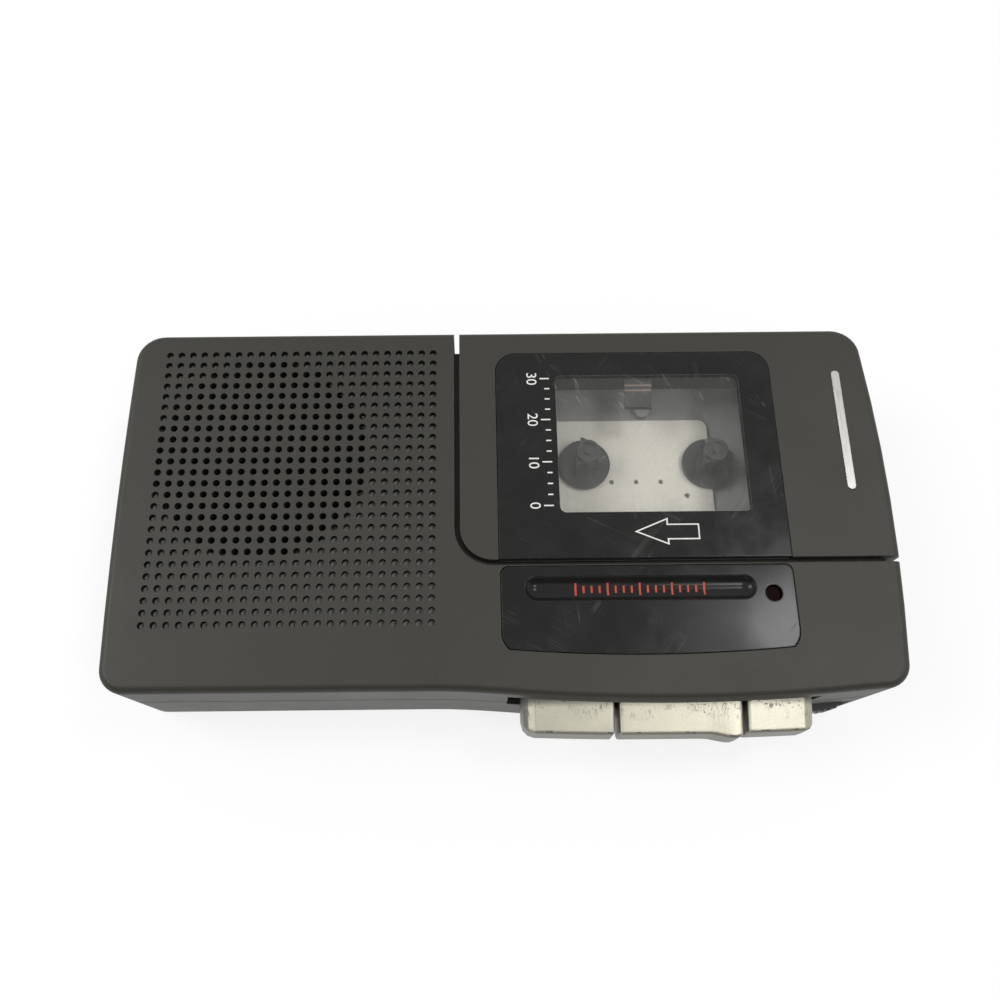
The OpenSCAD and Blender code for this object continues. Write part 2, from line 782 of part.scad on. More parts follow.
// Cassette lid: top, far wall with the hinge barrel, and end wall
module cassette_lid() color([0.2, 0.2, 0.19])
    difference() {
        union() {
            difference() {
                intersection() {
                    case_form();
                    translate([0, 0, seam_h + face_gap]) linear_extrude(big) lid_area(0);
                }
                inside(wall, seam_h, lid_in);
            }
            translate([lid_x, hinge_y, hinge_z]) rotate([0, 90, 0])
                cylinder(r = barrel_r, h = right_cx - lid_x);
        }
        translate([lid_x - 1, 0, 0]) rotate([90, 0, 90]) linear_extrude(big) difference() {
            translate([hinge_y, 0]) square([big, hinge_z]);
            translate([hinge_y, hinge_z]) circle(barrel_r);
        }
        for (x = lug_xs)
            translate([x - lug_w / 2 - lug_notch, 0, 0]) rotate([90, 0, 90])
                linear_extrude(lug_w + 2 * lug_notch) {
                    translate([hinge_y, hinge_z]) circle(barrel_r + lug_notch);
                    translate([hinge_y - barrel_r - lug_notch, 0])
                        square([2 * (barrel_r + lug_notch), hinge_z]);
                }
        for (x = lug_xs)
            translate([x - hinge_pin_l / 2, hinge_y, hinge_z]) rotate([0, 90, 0])
                cylinder(r = hinge_pin_r + pin_play, h = hinge_pin_l);
        translate([0, 0, case_h - window_t - mask_t]) linear_extrude(big) pane_recess();
        translate([0, 0, lid_in - 1]) linear_extrude(big)
            rounded(clear_x[0] - aperture_edge, clear_y[0] - aperture_edge, clear_x[1] + aperture_edge,
                clear_y[1] + aperture_edge, clear_r);
        translate([0, 0, case_h - trim_t]) linear_extrude(big) trim_area();
    }

// Clear window panel
module lid_window() color([0.3, 0.32, 0.32, 0.5])
    translate([0, 0, case_h - window_t]) linear_extrude(window_t) pane_area(0);

// Black print behind the window panel, with the clear pane left open
module window_mask() color([0.05, 0.05, 0.05])
    translate([0, 0, case_h - window_t - mask_t]) linear_extrude(mask_t) difference() {
        pane_area(0);
        rounded(clear_x[0], clear_y[0], clear_x[1], clear_y[1], clear_r);
    }

// Area of the silver trim bar in plan
module trim_area() {
    rounded(trim_x - trim_w / 2, trim_y[0], trim_x + trim_w / 2, trim_y[1], trim_w / 2 - eps);
}

// Plain silver trim bar let into the lid
module trim_bar() color("silver")
    translate([0, 0, case_h - trim_t]) linear_extrude(trim_t + trim_proud) trim_area();

// Leaf spring under the lid that steadies the cassette
module cassette_spring() color([0.72, 0.45, 0.3]) {
    y1 = clear_y[1] + aperture_edge + leaf_root;
    y0 = clear_y[1] - leaf_reach;
    bend = y0 + leaf_tip;
    low = lid_in - leaf_drop;
    translate([leaf_x - leaf_w / 2, 0, 0]) rotate([90, 0, 90]) linear_extrude(leaf_w)
        polygon([[y1, lid_in], [y1, lid_in - leaf_t], [y1 - leaf_root, lid_in - leaf_t], [bend, low - leaf_t],
            [y0, low - leaf_t + leaf_tip], [y0, low + leaf_tip], [bend, low], [y1 - leaf_root, lid_in]]);
}

// Steel pins of the lid hinge
module hinge_pins() color("lightgrey")
    for (x = lug_xs)
        translate([x - hinge_pin_l / 2, hinge_y, hinge_z]) rotate([0, 90, 0])
            cylinder(r = hinge_pin_r, h = hinge_pin_l);

// Section of a key at one station: outermost Y, set-in of its lower edge, drop of its top
nose_steps = 4;
foot_steps = 3;
function key_section(out, trim, drop) =
    let (top_out = key_top - key_slope - drop, edge = out + key_lean,
        nose = atan(key_slope / (key_in_y - edge)))
    concat([[key_in_y, key_bottom + trim], [key_in_y, key_top - drop]],
        [for (k = [0:nose_steps]) let (a = 90 + nose + (90 - nose) * k / nose_steps)
            [edge + key_nose_r * (1 + cos(a)), top_out - key_nose_r * (1 - sin(a))]],
        [for (k = [0:foot_steps]) let (a = 180 + 90 * k / foot_steps)
            [out + key_foot_r * (1 + cos(a)), key_bottom + trim + key_foot_r * (1 + sin(a))]]);
function end_in(d, r) = d >= r ? 0 : r - sqrt(r * r - (r - d) * (r - d));
function ease(t) = t <= 0 ? 0 : t >= 1 ? 1 : t * t * (3 - 2 * t);
function ridge_share(x) =
    x < ridge_x ? ease(1 - (ridge_x - x) / ridge_ramp) : 1 - ease((x - ridge_x) / ridge_fall);
function key_front(x, ridge) =
    key_out_y + pow(x - key_mid_x, 2) / (2 * key_bow_r) - ridge * ridge_share(x);

// Key cap lofted along X, with rounded ends and a bowed front
module key_cap(i, ridge) {
    x0 = key_start(i);
    x1 = x0 + key_ws[i];
    r0 = key_round[i][0];
    r1 = key_round[i][1];
    stations = concat(
        [for (f = [0, 0.15, 0.5, 1]) x0 + r0 * f],
        ridge > 0 ? [for (k = [6:-1:0]) ridge_x - ridge_ramp * k / 6] : [(x0 + x1) / 2],
        [for (f = [1, 0.5, 0.15, 0]) x1 - r1 * f]);
    sections = [for (x = stations)
        let (s = max(end_in(x - x0, r0), end_in(x1 - x, r1)))
        key_section(key_front(x, ridge) + s, min(s, key_edge_in), s)];
    n = len(sections[0]);
    m = len(stations);
    points = [for (k = [0:m - 1]) for (p = sections[k]) [stations[k], p.x, p.y]];
    sides = [for (k = [0:m - 2], j = [0:n - 1])
        let (a = k * n + j, b = k * n + (j + 1) % n)
        each [[a, a + n, b + n], [a, b + n, b]]];
    caps = [[for (j = [0:n - 1]) j], [for (j = [n - 1:-1:0]) (m - 1) * n + j]];
    polyhedron(points, concat(caps, sides));
}

// Key with its guide tongue and spring peg
module key(i, ridge) color([0.75, 0.73, 0.69]) {
    mid = key_start(i) + key_ws[i] / 2;
    key_cap(i, ridge);
    block([mid - tongue_w / 2, key_in_y - 1, tongue_z],
        [mid + tongue_w / 2, tongue_end_y, tongue_z + tongue_t]);
    translate([mid, key_in_y - peg_root, spring_z]) rotate([-90, 0, 0])
        cylinder(r = spring_r - spring_wire_r - peg_gap, h = peg_root + peg_l);
}
module stop_key() key(0, 0);
module play_key() key(1, ridge_h);
module record_key() key(2, 0);

// Return spring of a key: one wire wound from the key to the rail
module key_spring(i) color("lightgrey") {
    ring_n = 6;
    per_turn = 8;
    steps = spring_turns * per_turn;
    y0 = key_in_y + spring_wire_r;
    y1 = rail_y + spring_pocket - spring_wire_r;
    cx = key_start(i) + key_ws[i] / 2;
    points = [for (k = [0:steps], j = [0:ring_n - 1])
        let (a = 360 * k / per_turn, b = 360 * j / ring_n, r = spring_r + spring_wire_r * cos(b))
        [cx + r * cos(a), y0 + (y1 - y0) * k / steps + spring_wire_r * sin(b), spring_z + r * sin(a)]];
    sides = [for (k = [0:steps - 1], j = [0:ring_n - 1])
        let (a = k * ring_n + j, b = k * ring_n + (j + 1) % ring_n)
        each [[a, b, b + ring_n], [a, b + ring_n, a + ring_n]]];
    caps = [[for (j = [ring_n - 1:-1:0]) j], [for (j = [0:ring_n - 1]) steps * ring_n + j]];
    polyhedron(points, concat(caps, sides));
}
module stop_spring() key_spring(0);
module play_spring() key_spring(1);
module record_spring() key_spring(2);

// Head slide: steel plate that carries the heads and the pinch roller's axle
module head_slide() color([0.7, 0.7, 0.72]) {
    mid = key_start(1) + key_ws[1] / 2;
    translate([0, 0, slide_z]) linear_extrude(slide_t) difference() {
        rounded(slide_x[0], tab_y, slide_x[1], slide_far_y, 1);
        for (x = guide_xs)
            rounded(x - guide_r - slide_gap, guide_y - key_travel - guide_r - slide_gap,
                x + guide_r + slide_gap, guide_y + guide_r + slide_gap, guide_r + slide_gap - eps);
    }
    block([mid - tab_w / 2, tab_y, slide_z], [mid + tab_w / 2, tab_y + tab_t, tongue_z + tongue_t]);
    column(capstan_x, pinch_y, pinch_pin_r, slide_z, slide_top + pinch_h + 2 * face_gap);
}

// Head block with a rounded nose towards the tape
module head_block(x, w) {
    y0 = slide_far_y - head_d;
    translate([0, 0, slide_top]) linear_extrude(head_h) {
        translate([x - w / 2, y0]) square([w, head_d - head_step]);
        intersection() {
            translate([x, slide_far_y - head_nose_r - head_back]) circle(head_nose_r);
            translate([x - w / 2, y0]) square([w, head_d]);
        }
    }
}
module tape_head() color([0.8, 0.78, 0.72]) head_block(bay_x, head_w);
module erase_head() color([0.15, 0.15, 0.16]) head_block(erase_x, erase_w);

// Pinch roller: rubber on a bush
module pinch_roller() color([0.06, 0.06, 0.06])
    difference() {
        column(capstan_x, pinch_y, pinch_r, slide_top + face_gap, slide_top + face_gap + pinch_h);
        column(capstan_x, pinch_y, pinch_pin_r + run_gap, 0, big);
    }

// Mechanism chassis: floor of the bay, its end walls, key rail and motor seat
module mech_chassis() color([0.09, 0.09, 0.09]) {
    lap = 1;
    shelf_t = 1.2;
    tab_half = [3.4, 2.6];
    tab_end = 2;
    seat_reach = 2.8;
    shelf_in = [1.4, 4];
    difference() {
        union() {
            block([bay_left, rail_y, chassis_bottom], [bay_right, bay_far_y, chassis_top]);
            block([motor_x - motor_r - seat_edge, motor_y - motor_r - seat_edge, chassis_bottom],
                [bay_left + lap, spindle_y + seat_reach, chassis_top]);
            block([bay_left, bay_near_y, chassis_bottom], [bay_left + bay_wall, bay_far_y, bay_wall_top]);
            block([bay_right - bay_wall, bay_near_y, chassis_bottom], [bay_right, bay_far_y, bay_wall_top]);
            block([lid_x - ledge_w, bay_near_y, bay_wall_top - shelf_t],
                [bay_left + lap, bay_far_y, bay_wall_top]);
            block([bay_right - lap, bay_near_y, seam_h - shelf_t],
                [right_in - shelf_in[0], bay_far_y - shelf_in[1], seam_h - face_gap]);
            block([key_x0 - rail_edge, rail_y, chassis_bottom],
                [key_end + rail_edge, rail_y + rail_t, tongue_z + tongue_t + rail_over]);
            block([bay_right - lap, short_boss.y - tab_half[0], chassis_bottom],
                [short_boss.x + tab_end, short_boss.y + tab_half[1], seam_h - face_gap]);
            column(bay_x, spindle_y + stop_pin_y, stop_pin_r, chassis_top - bite, deck_z + stop_pin_h);
            column(idler_x, idler_y, idler_pin_r, wheel_z - face_gap, chassis_bottom + bite);
        }
        column(motor_x, motor_y, motor_r + seat_gap, 0, big);
        for (x = [takeup_x, supply_x]) column(x, spindle_y, neck_r + run_gap, 0, chassis_top + 1);
        column(capstan_x, capstan_y, capstan_r + run_gap, 0, chassis_top + 1);
        column(short_boss.x, short_boss.y, pilot_r, 0, screw_tips[0] + bite);
        for (i = [0:2]) {
            mid = key_start(i) + key_ws[i] / 2;
            block([mid - tongue_w / 2 - slide_gap, rail_y - 1, tongue_z - slide_gap],
                [mid + tongue_w / 2 + slide_gap, rail_y + rail_t + 1, tongue_z + tongue_t + slide_gap]);
            translate([mid, rail_y - 1, spring_z]) rotate([-90, 0, 0])
                cylinder(r = spring_bore_r, h = spring_pocket + 1);
        }
    }
}

// Deck plate: steel, under the spindles and the head slide
module deck_plate() color([0.7, 0.68, 0.62]) {
    translate([0, 0, chassis_top]) linear_extrude(deck_t) difference() {
        rounded(deck_x[0], deck_y[0], deck_x[1], deck_y[1], deck_corner_r);
        for (x = [takeup_x, supply_x]) translate([x, spindle_y]) circle(neck_r + deck_hole_gap);
        translate([capstan_x, capstan_y]) circle(capstan_r + deck_hole_gap);
        translate(deck_hole) circle(deck_hole_r);
        for (k = [-1:1]) translate([deck_dots.x + deck_dot_pitch * k, deck_dots.y]) circle(deck_dot_r);
    }
    for (x = guide_xs) column(x, guide_y, guide_r, chassis_top, slide_top + guide_proud);
}

// Spindle: drive wheel under the chassis, reel table and three-finned hub above the deck
module spindle(x, wheel_r) {
    table_z = deck_z + face_gap;
    tip_z = deck_z + spindle_h;
    difference() {
        union() {
            column(x, spindle_y, wheel_r, wheel_z, wheel_z + wheel_t);
            column(x, spindle_y, neck_r, wheel_z, table_z + bite);
            column(x, spindle_y, reel_r, table_z, table_z + table_t);
            column(x, spindle_y, hub_r, table_z, tip_z);
            translate([x, spindle_y, table_z]) linear_extrude(tip_z - table_z - fin_drop)
                for (a = [fin_turn:120:fin_turn + 240]) rotate(a)
                    polygon([[0, -fin_w], [hub_r, -fin_w], [fin_r, 0], [hub_r, fin_w / 2], [0, fin_w / 2]]);
        }
        difference() {
            column(x, spindle_y, hub_r - cup_wall, tip_z - cup_depth, tip_z + 1);
            column(x, spindle_y, cup_pin_r, tip_z - 1, tip_z + 2);
        }
    }
}
module takeup_spindle() color([0.12, 0.12, 0.12]) spindle(takeup_x, reel_wheel_r[0]);
module supply_spindle() color([0.12, 0.12, 0.12]) spindle(supply_x, reel_wheel_r[1]);

// Idler wheel between the capstan pulley and the take-up wheel
module idler_wheel() color([0.08, 0.08, 0.08])
    difference() {
        column(idler_x, idler_y, idler_r, wheel_z, wheel_z + wheel_t);
        column(idler_x, idler_y, idler_pin_r + run_gap, 0, big);
    }

// Flywheel with a belt groove and the drive pulley on top
module flywheel() color([0.62, 0.55, 0.35])
    difference() {
        union() {
            column(capstan_x, capstan_y, flywheel_r, flywheel_z, flywheel_z + flywheel_t);
            column(capstan_x, capstan_y, drive_pulley_r, flywheel_z, wheel_z + wheel_t);
        }
        difference() {
            column(capstan_x, capstan_y, flywheel_r + 1, belt_z - slide_gap, belt_z + belt_h + slide_gap);
            column(capstan_x, capstan_y, flywheel_r - groove_depth, belt_z - 1, belt_z + belt_h + 1);
        }
        column(capstan_x, capstan_y, capstan_r + pin_play, 0, big);
    }

// Capstan: ground steel shaft through flywheel, bearing and deck
module capstan() color([0.82, 0.82, 0.84])
    column(capstan_x, capstan_y, capstan_r, flywheel_z - capstan_tail, deck_z + spindle_h);

// Motor can on its seat in the chassis
module motor() color([0.66, 0.66, 0.68])
    difference() {
        union() {
            column(motor_x, motor_y, motor_r, motor_z, motor_z + motor_h);
            column(motor_x, motor_y, motor_r - motor_step, motor_z, motor_z + motor_h + motor_cap);
        }
        column(motor_x, motor_y, motor_shaft_r + run_gap, 0, motor_z + motor_h / 2);
    }

// Motor pulley and shaft
module motor_pulley() color([0.72, 0.62, 0.35])
    difference() {
        union() {
            column(motor_x, motor_y, pulley_r, flywheel_z, flywheel_z + pulley_h);
            column(motor_x, motor_y, motor_shaft_r, flywheel_z, motor_z + motor_h / 2 - shaft_end_gap);
        }
        difference() {
            column(motor_x, motor_y, pulley_r + 1, belt_z - slide_gap, belt_z + belt_h + slide_gap);
            column(motor_x, motor_y, pulley_r - groove_depth, belt_z - 1, belt_z + belt_h + 1);
        }
    }

// Outline round both belt wheels, grown from the bottoms of their grooves
module belt_loop(grow) {
    hull() {
        translate([capstan_x, capstan_y]) circle(flywheel_r - groove_depth + grow, $fn = 64);
        translate([motor_x, motor_y]) circle(pulley_r - groove_depth + grow, $fn = 32);
    }
}

// Drive belt, drawn taut with a running gap in both grooves
module drive_belt() color([0.05, 0.05, 0.05])
    translate([0, 0, belt_z]) linear_extrude(belt_h) difference() {
        belt_loop(round_gap + belt_t);
        belt_loop(round_gap);
    }

// Circuit board round the screw columns and posts
module circuit_board() color([0.1, 0.35, 0.18])
    translate([0, 0, board_bottom]) linear_extrude(board_t) difference() {
        intersection() {
            polygon(plan_in(wall + face_gap));
            union() {
                translate([board_x0, board_y[0]]) square([big, board_y[1] - board_y[0]]);
                translate([dial_x - pot_r - 2, -big]) square(big);
            }
        }
        for (p = concat(long_bosses, [short_boss])) translate(p) circle(boss_r + face_gap);
        translate(short_boss) square(big);
        translate([long_bosses[2].x, -big]) square([big, big + long_bosses[2].y + boss_r]);
        for (p = chassis_posts) translate(p) circle(post_r + face_gap);
    }

// Chip on the board, by its middle and its size in plan
module chip(middle, size) {
    translate([middle.x - size.x / 2, middle.y - size.y / 2, board_top]) cube([size.x, size.y, chip_t]);
}

// Chips and capacitors on the board
module board_parts() color([0.1, 0.1, 0.12]) {
    for (x = [-26.4, -20.4, 17.6]) column(bay_x + x, far_y - 8.1, can_r, board_top, board_top + can_h);
    chip([motor_x + 3.4, capstan_y + 4.4], [10, 6]);
    chip([bay_x + 10.6, far_y - 8.7], [8, 5]);
    chip([bay_x + 8.6, capstan_y - 2.6], [10, 6]);
}

// Volume dial with a ribbed rim
module volume_dial() color([0.06, 0.06, 0.06])
    translate([dial_x, dial_y, dial_z]) difference() {
        linear_extrude(dial_t) difference() {
            circle(dial_r, $fn = 96);
            for (k = [0:dial_ribs - 1])
                rotate(360 * k / dial_ribs) translate([dial_r, 0]) circle(dial_rib_r, $fn = 16);
            circle(dial_shaft_r + run_gap);
        }
        translate([0, 0, dial_t - dial_dish]) cylinder(r = dial_r - dial_rim, h = 1);
    }

// Volume control body and its shaft
module volume_control() color([0.3, 0.3, 0.32]) {
    column(dial_x, dial_y, pot_r, board_top, board_top + pot_h);
    column(dial_x, dial_y, dial_shaft_r, board_top, dial_z + dial_t - slide_gap);
}

// Speed switch body behind the end wall
module speed_switch() color([0.55, 0.55, 0.57])
    difference() {
        block([socket_front_x - switch_depth[0], switch_y - switch_w / 2, board_top],
            [socket_front_x - switch_depth[1], switch_y + switch_w / 2, board_top + switch_h]);
        knob_path(socket_front_x - knob_depth - slide_gap);
    }

// Speed switch knob, ribbed, in its slot
module speed_knob() color([0.08, 0.08, 0.08])
    difference() {
        block([socket_front_x - knob_depth, switch_y - knob_w / 2 - switch_travel, switch_z - knob_h / 2],
            [end_x(switch_y, bow_right) + knob_proud, switch_y + knob_w / 2 - switch_travel,
                switch_z + knob_h / 2]);
        for (k = [-1:1]) {
            y = switch_y - switch_travel + knob_rib * k;
            block([end_x(switch_y, bow_right) + knob_proud - face_gap, y - knob_groove / 2, 0],
                [big, y + knob_groove / 2, big]);
        }
    }

// Socket for a plug: body on the board, collar in the wall, bore open outwards
module jack(y) color([0.1, 0.1, 0.1])
    difference() {
        union() {
            block([socket_front_x - jack_l, y - jack_w / 2, board_top],
                [socket_front_x - seat_back, y + jack_w / 2, jack_z + jack_top]);
            translate([socket_front_x - 1, y, jack_z]) rotate([0, 90, 0])
                cylinder(r = jack_r + collar_t, h = 1 + wall - collar_in);
        }
        translate([socket_front_x + wall - collar_in - jack_bore_l, y, jack_z]) rotate([0, 90, 0])
            cylinder(r = jack_r, h = jack_bore_l + 1);
    }
module earphone_jack() jack(jack_ys[1]);
module microphone_jack() jack(jack_ys[0]);

// Supply inlet in the far wall, with its centre pin
module supply_inlet() color([0.1, 0.1, 0.1]) {
    y1 = far_wall - wall;
    difference() {
        union() {
            block([inlet_x - inlet_w / 2, y1 - seat_back - inlet_l, board_top],
                [inlet_x + inlet_w / 2, y1 - seat_back, inlet_z + jack_top]);
            translate([inlet_x, y1 - 1, inlet_z]) rotate([-90, 0, 0])
                cylinder(r = inlet_r + inlet_collar_t, h = 1 + wall - collar_in);
        }
        translate([inlet_x, y1 - inlet_bore_l, inlet_z]) rotate([-90, 0, 0]) cylinder(r = inlet_r, h = big);
    }
    translate([inlet_x, y1 - inlet_bore_l - bite, inlet_z]) rotate([-90, 0, 0])
        cylinder(r = inlet_pin_r, h = inlet_pin_l);
}

// Record lamp with its flange under the pad
module record_lamp() color([0.7, 0.12, 0.1]) {
    under = case_h - plate_t - pad_t;
    column(lamp_x, lamp_y, lamp_r, under - bite, case_h - lamp_sink);
    column(lamp_x, lamp_y, lamp_r + lamp_flange, under - lamp_flange_t, under);
}

// Microphone capsule behind the end wall
module microphone() color([0.6, 0.6, 0.62])
    translate([end_x(mic_y, bow_right) - wall - mic_l - mic_gap, mic_y, mic_z]) rotate([0, 90, 0])
        cylinder(r = mic_r, h = mic_l);

// Speaker frame: rim, open basket and magnet seat
module speaker_frame() color([0.4, 0.4, 0.42])
    translate([speaker_x, speaker_y, top_in]) difference() {
        rotate_extrude() polygon([[speaker_rim_r, 0], [cone_r, 0], [cone_r, -rim_t + basket_t],
            [magnet_r - seat_w, seat_z + basket_t], [magnet_r - seat_w, seat_z], [magnet_r + bite, seat_z],
            [speaker_rim_r, -rim_t]]);
        for (a = [45:90:315]) rotate(a) translate([(magnet_r + cone_r + basket_t) / 2, 0, -speaker_depth])
            cylinder(r = basket_hole_r, h = speaker_depth - rim_t + slide_gap);
    }

// Speaker cone with its dust cap
module speaker_cone() color([0.08, 0.08, 0.08])
    translate([speaker_x, speaker_y, top_in]) rotate_extrude()
        polygon([[cone_r - seat_back, -cone_drop], [cone_r - seat_back, -cone_drop - cone_t],
            [cone_r - surround_w, -cone_drop - cone_t], [cap_r, seat_z + cap_edge], [0, seat_z + cap_top],
            [0, seat_z + cap_top + cone_t], [cap_r, seat_z + cap_edge + cone_t],
            [cone_r - surround_w, -cone_drop]]);

// Speaker magnet
module speaker_magnet() color([0.3, 0.3, 0.32])
    column(speaker_x, speaker_y, magnet_r, top_in - speaker_depth, top_in - speaker_depth + magnet_t);

// Two cells, side by side and reversed
module battery_cells() color([0.75, 0.6, 0.25])
    for (i = [0, 1])
        translate([cell_x0 + i * cell_pitch, cell_y, cell_z]) rotate([i == 0 ? -90 : 90, 0, 0])
            translate([0, 0, -cell_l / 2]) {
                cylinder(r = cell_r, h = cell_l - nub_l);
                cylinder(r = nub_r, h = cell_l);
            }

// Contact leaves between the cells' ends and the walls
module battery_contacts() color([0.8, 0.8, 0.78])
    for (i = [0, 1], s = [-1, 1]) {
        x = cell_x0 + i * cell_pitch;
        y_in = (s < 0 ? -near_wall : far_wall) - wall;
        y_cell = cell_l / 2 + s * cell_y;
        mirror([0, s < 0 ? 1 : 0, 0])
            translate([x - contact_w / 2, 0, 0]) rotate([90, 0, 90]) linear_extrude(contact_w)
                polygon([[y_in, cell_z - contact_low], [y_in, cell_z + contact_high],
                    [y_in - contact_t, cell_z + contact_high], [y_cell, cell_z + contact_face],
                    [y_cell, cell_z - contact_face], [y_in - contact_t, cell_z - contact_foot],
                    [y_in - contact_t, cell_z - contact_low]]);
    }

front_case();
speaker_grille();
front_plate();
rear_case();
battery_cover();
case_screws();
cassette_lid();
lid_window();
window_mask();
trim_bar();
cassette_spring();
hinge_pins();
stop_key();
play_key();
record_key();
stop_spring();
play_spring();
record_spring();
head_slide();
tape_head();
erase_head();
pinch_roller();
mech_chassis();
deck_plate();
takeup_spindle();
supply_spindle();
idler_wheel();
flywheel();
capstan();
motor();
motor_pulley();
drive_belt();
circuit_board();
board_parts();
volume_dial();
volume_control();
speed_knob();
speed_switch();
earphone_jack();
microphone_jack();
supply_inlet();
record_lamp();
microphone();
speaker_frame();
speaker_cone();
speaker_magnet();
battery_cells();
battery_contacts();
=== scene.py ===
"""Looks of a hand-held microcassette recorder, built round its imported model."""
import json
import math

import bpy
import numpy as np
from mathutils import Matrix, Vector


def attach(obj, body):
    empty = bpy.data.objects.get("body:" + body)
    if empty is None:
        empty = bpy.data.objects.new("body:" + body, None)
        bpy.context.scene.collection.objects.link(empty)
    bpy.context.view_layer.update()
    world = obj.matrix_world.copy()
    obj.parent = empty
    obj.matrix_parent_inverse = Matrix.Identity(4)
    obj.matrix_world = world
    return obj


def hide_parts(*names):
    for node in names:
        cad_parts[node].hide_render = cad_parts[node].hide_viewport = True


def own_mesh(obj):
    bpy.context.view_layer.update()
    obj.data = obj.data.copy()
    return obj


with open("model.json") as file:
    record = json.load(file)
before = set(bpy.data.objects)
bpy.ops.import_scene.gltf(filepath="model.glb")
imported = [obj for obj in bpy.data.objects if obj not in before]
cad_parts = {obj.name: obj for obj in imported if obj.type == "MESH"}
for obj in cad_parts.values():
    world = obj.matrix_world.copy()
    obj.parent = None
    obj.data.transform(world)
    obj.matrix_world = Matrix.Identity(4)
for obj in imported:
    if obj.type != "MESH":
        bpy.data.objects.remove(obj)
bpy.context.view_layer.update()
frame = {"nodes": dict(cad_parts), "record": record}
scene = bpy.context.scene
MM = 0.001

# Places on the object, in millimetres
CASE_TOP = 24.0
WALL_TOP = (CASE_TOP - 1.2, CASE_TOP - 1.6)
WINDOW_X = (8.55, 37.87)
WINDOW_Y = (-2.13, 21.1)
WINDOW_CORNER = 1.0
PRINT_BLUR = 0.04
SCUFFED_Y = (10.0, 17.0)
GRILLE_FLOOR = (22.8, 23.3)
GRILLE_END_X = -8.1
SCOOP_Y = -14.03
SCOOP_HALF = 1.89
SCOOP_DEPTH = 1.0
SCOOP_RADIUS = (SCOOP_HALF ** 2 + SCOOP_DEPTH ** 2) / (2 * SCOOP_DEPTH)
KEY_BACK_Y = -30.0
LEAF_FOLD_Y = (20.5, 19.75)
CELL_BAND_Y = (7.9, 8.1)
TRACK_PITCH = 2.5
PRINT_THICK = 0.03


class Wire:
    """A shader output that takes part in arithmetic: each operator adds one Math node."""

    def __init__(self, graph, socket):
        self.graph = graph
        self.socket = socket

    def math(self, operation, first, second):
        return self.graph.node("ShaderNodeMath", {"operation": operation}, {0: first, 1: second})

    def __add__(self, other):
        return self.math("ADD", self, other)

    def __radd__(self, other):
        return self.math("ADD", other, self)

    def __sub__(self, other):
        return self.math("SUBTRACT", self, other)

    def __rsub__(self, other):
        return self.math("SUBTRACT", other, self)

    def __mul__(self, other):
        return self.math("MULTIPLY", self, other)

    def __rmul__(self, other):
        return self.math("MULTIPLY", other, self)

    def __abs__(self):
        return self.math("ABSOLUTE", self, 0.0)

    def lower_of(self, other):
        return self.math("MINIMUM", self, other)

    def higher_of(self, other):
        return self.math("MAXIMUM", self, other)

    def step(self, low, high):
        """Smooth step from 0 at low to 1 at high, or down where low is the larger."""
        return self.graph.node("ShaderNodeMapRange", {"interpolation_type": "SMOOTHSTEP"},
                               {"Value": self, "From Min": low, "From Max": high})

    def output(self, name):
        """Another output of the node that made this one."""
        return Wire(self.graph, self.socket.node.outputs[name])


class Graph:
    """A node tree in which one method makes every node that isn't arithmetic."""

    def __init__(self, tree):
        self.tree = tree
        tree.nodes.clear()

    def fill(self, node, sockets):
        """Links or sets sockets of a node."""
        for key, value in sockets.items():
            if isinstance(value, Wire):
                self.tree.links.new(value.socket, node.inputs[key])
            else:
                node.inputs[key].default_value = value

    def node(self, kind, settings=None, sockets=None, out=0):
        """Adds a node: its settings first, then the values or links of its sockets."""
        made = self.tree.nodes.new(kind)
        for key, value in (settings or {}).items():
            setattr(made, key, value)
        self.fill(made, sockets or {})
        return None if out is None else Wire(self, made.outputs[out])

    def seen_plainly(self):
        """1 for rays from the camera, from a gloss or through glass, which show the white background."""
        path = self.node("ShaderNodeLightPath", {}, {}, "Is Camera Ray")
        return path.higher_of(path.output("Is Glossy Ray")).higher_of(path.output("Is Transmission Ray"))


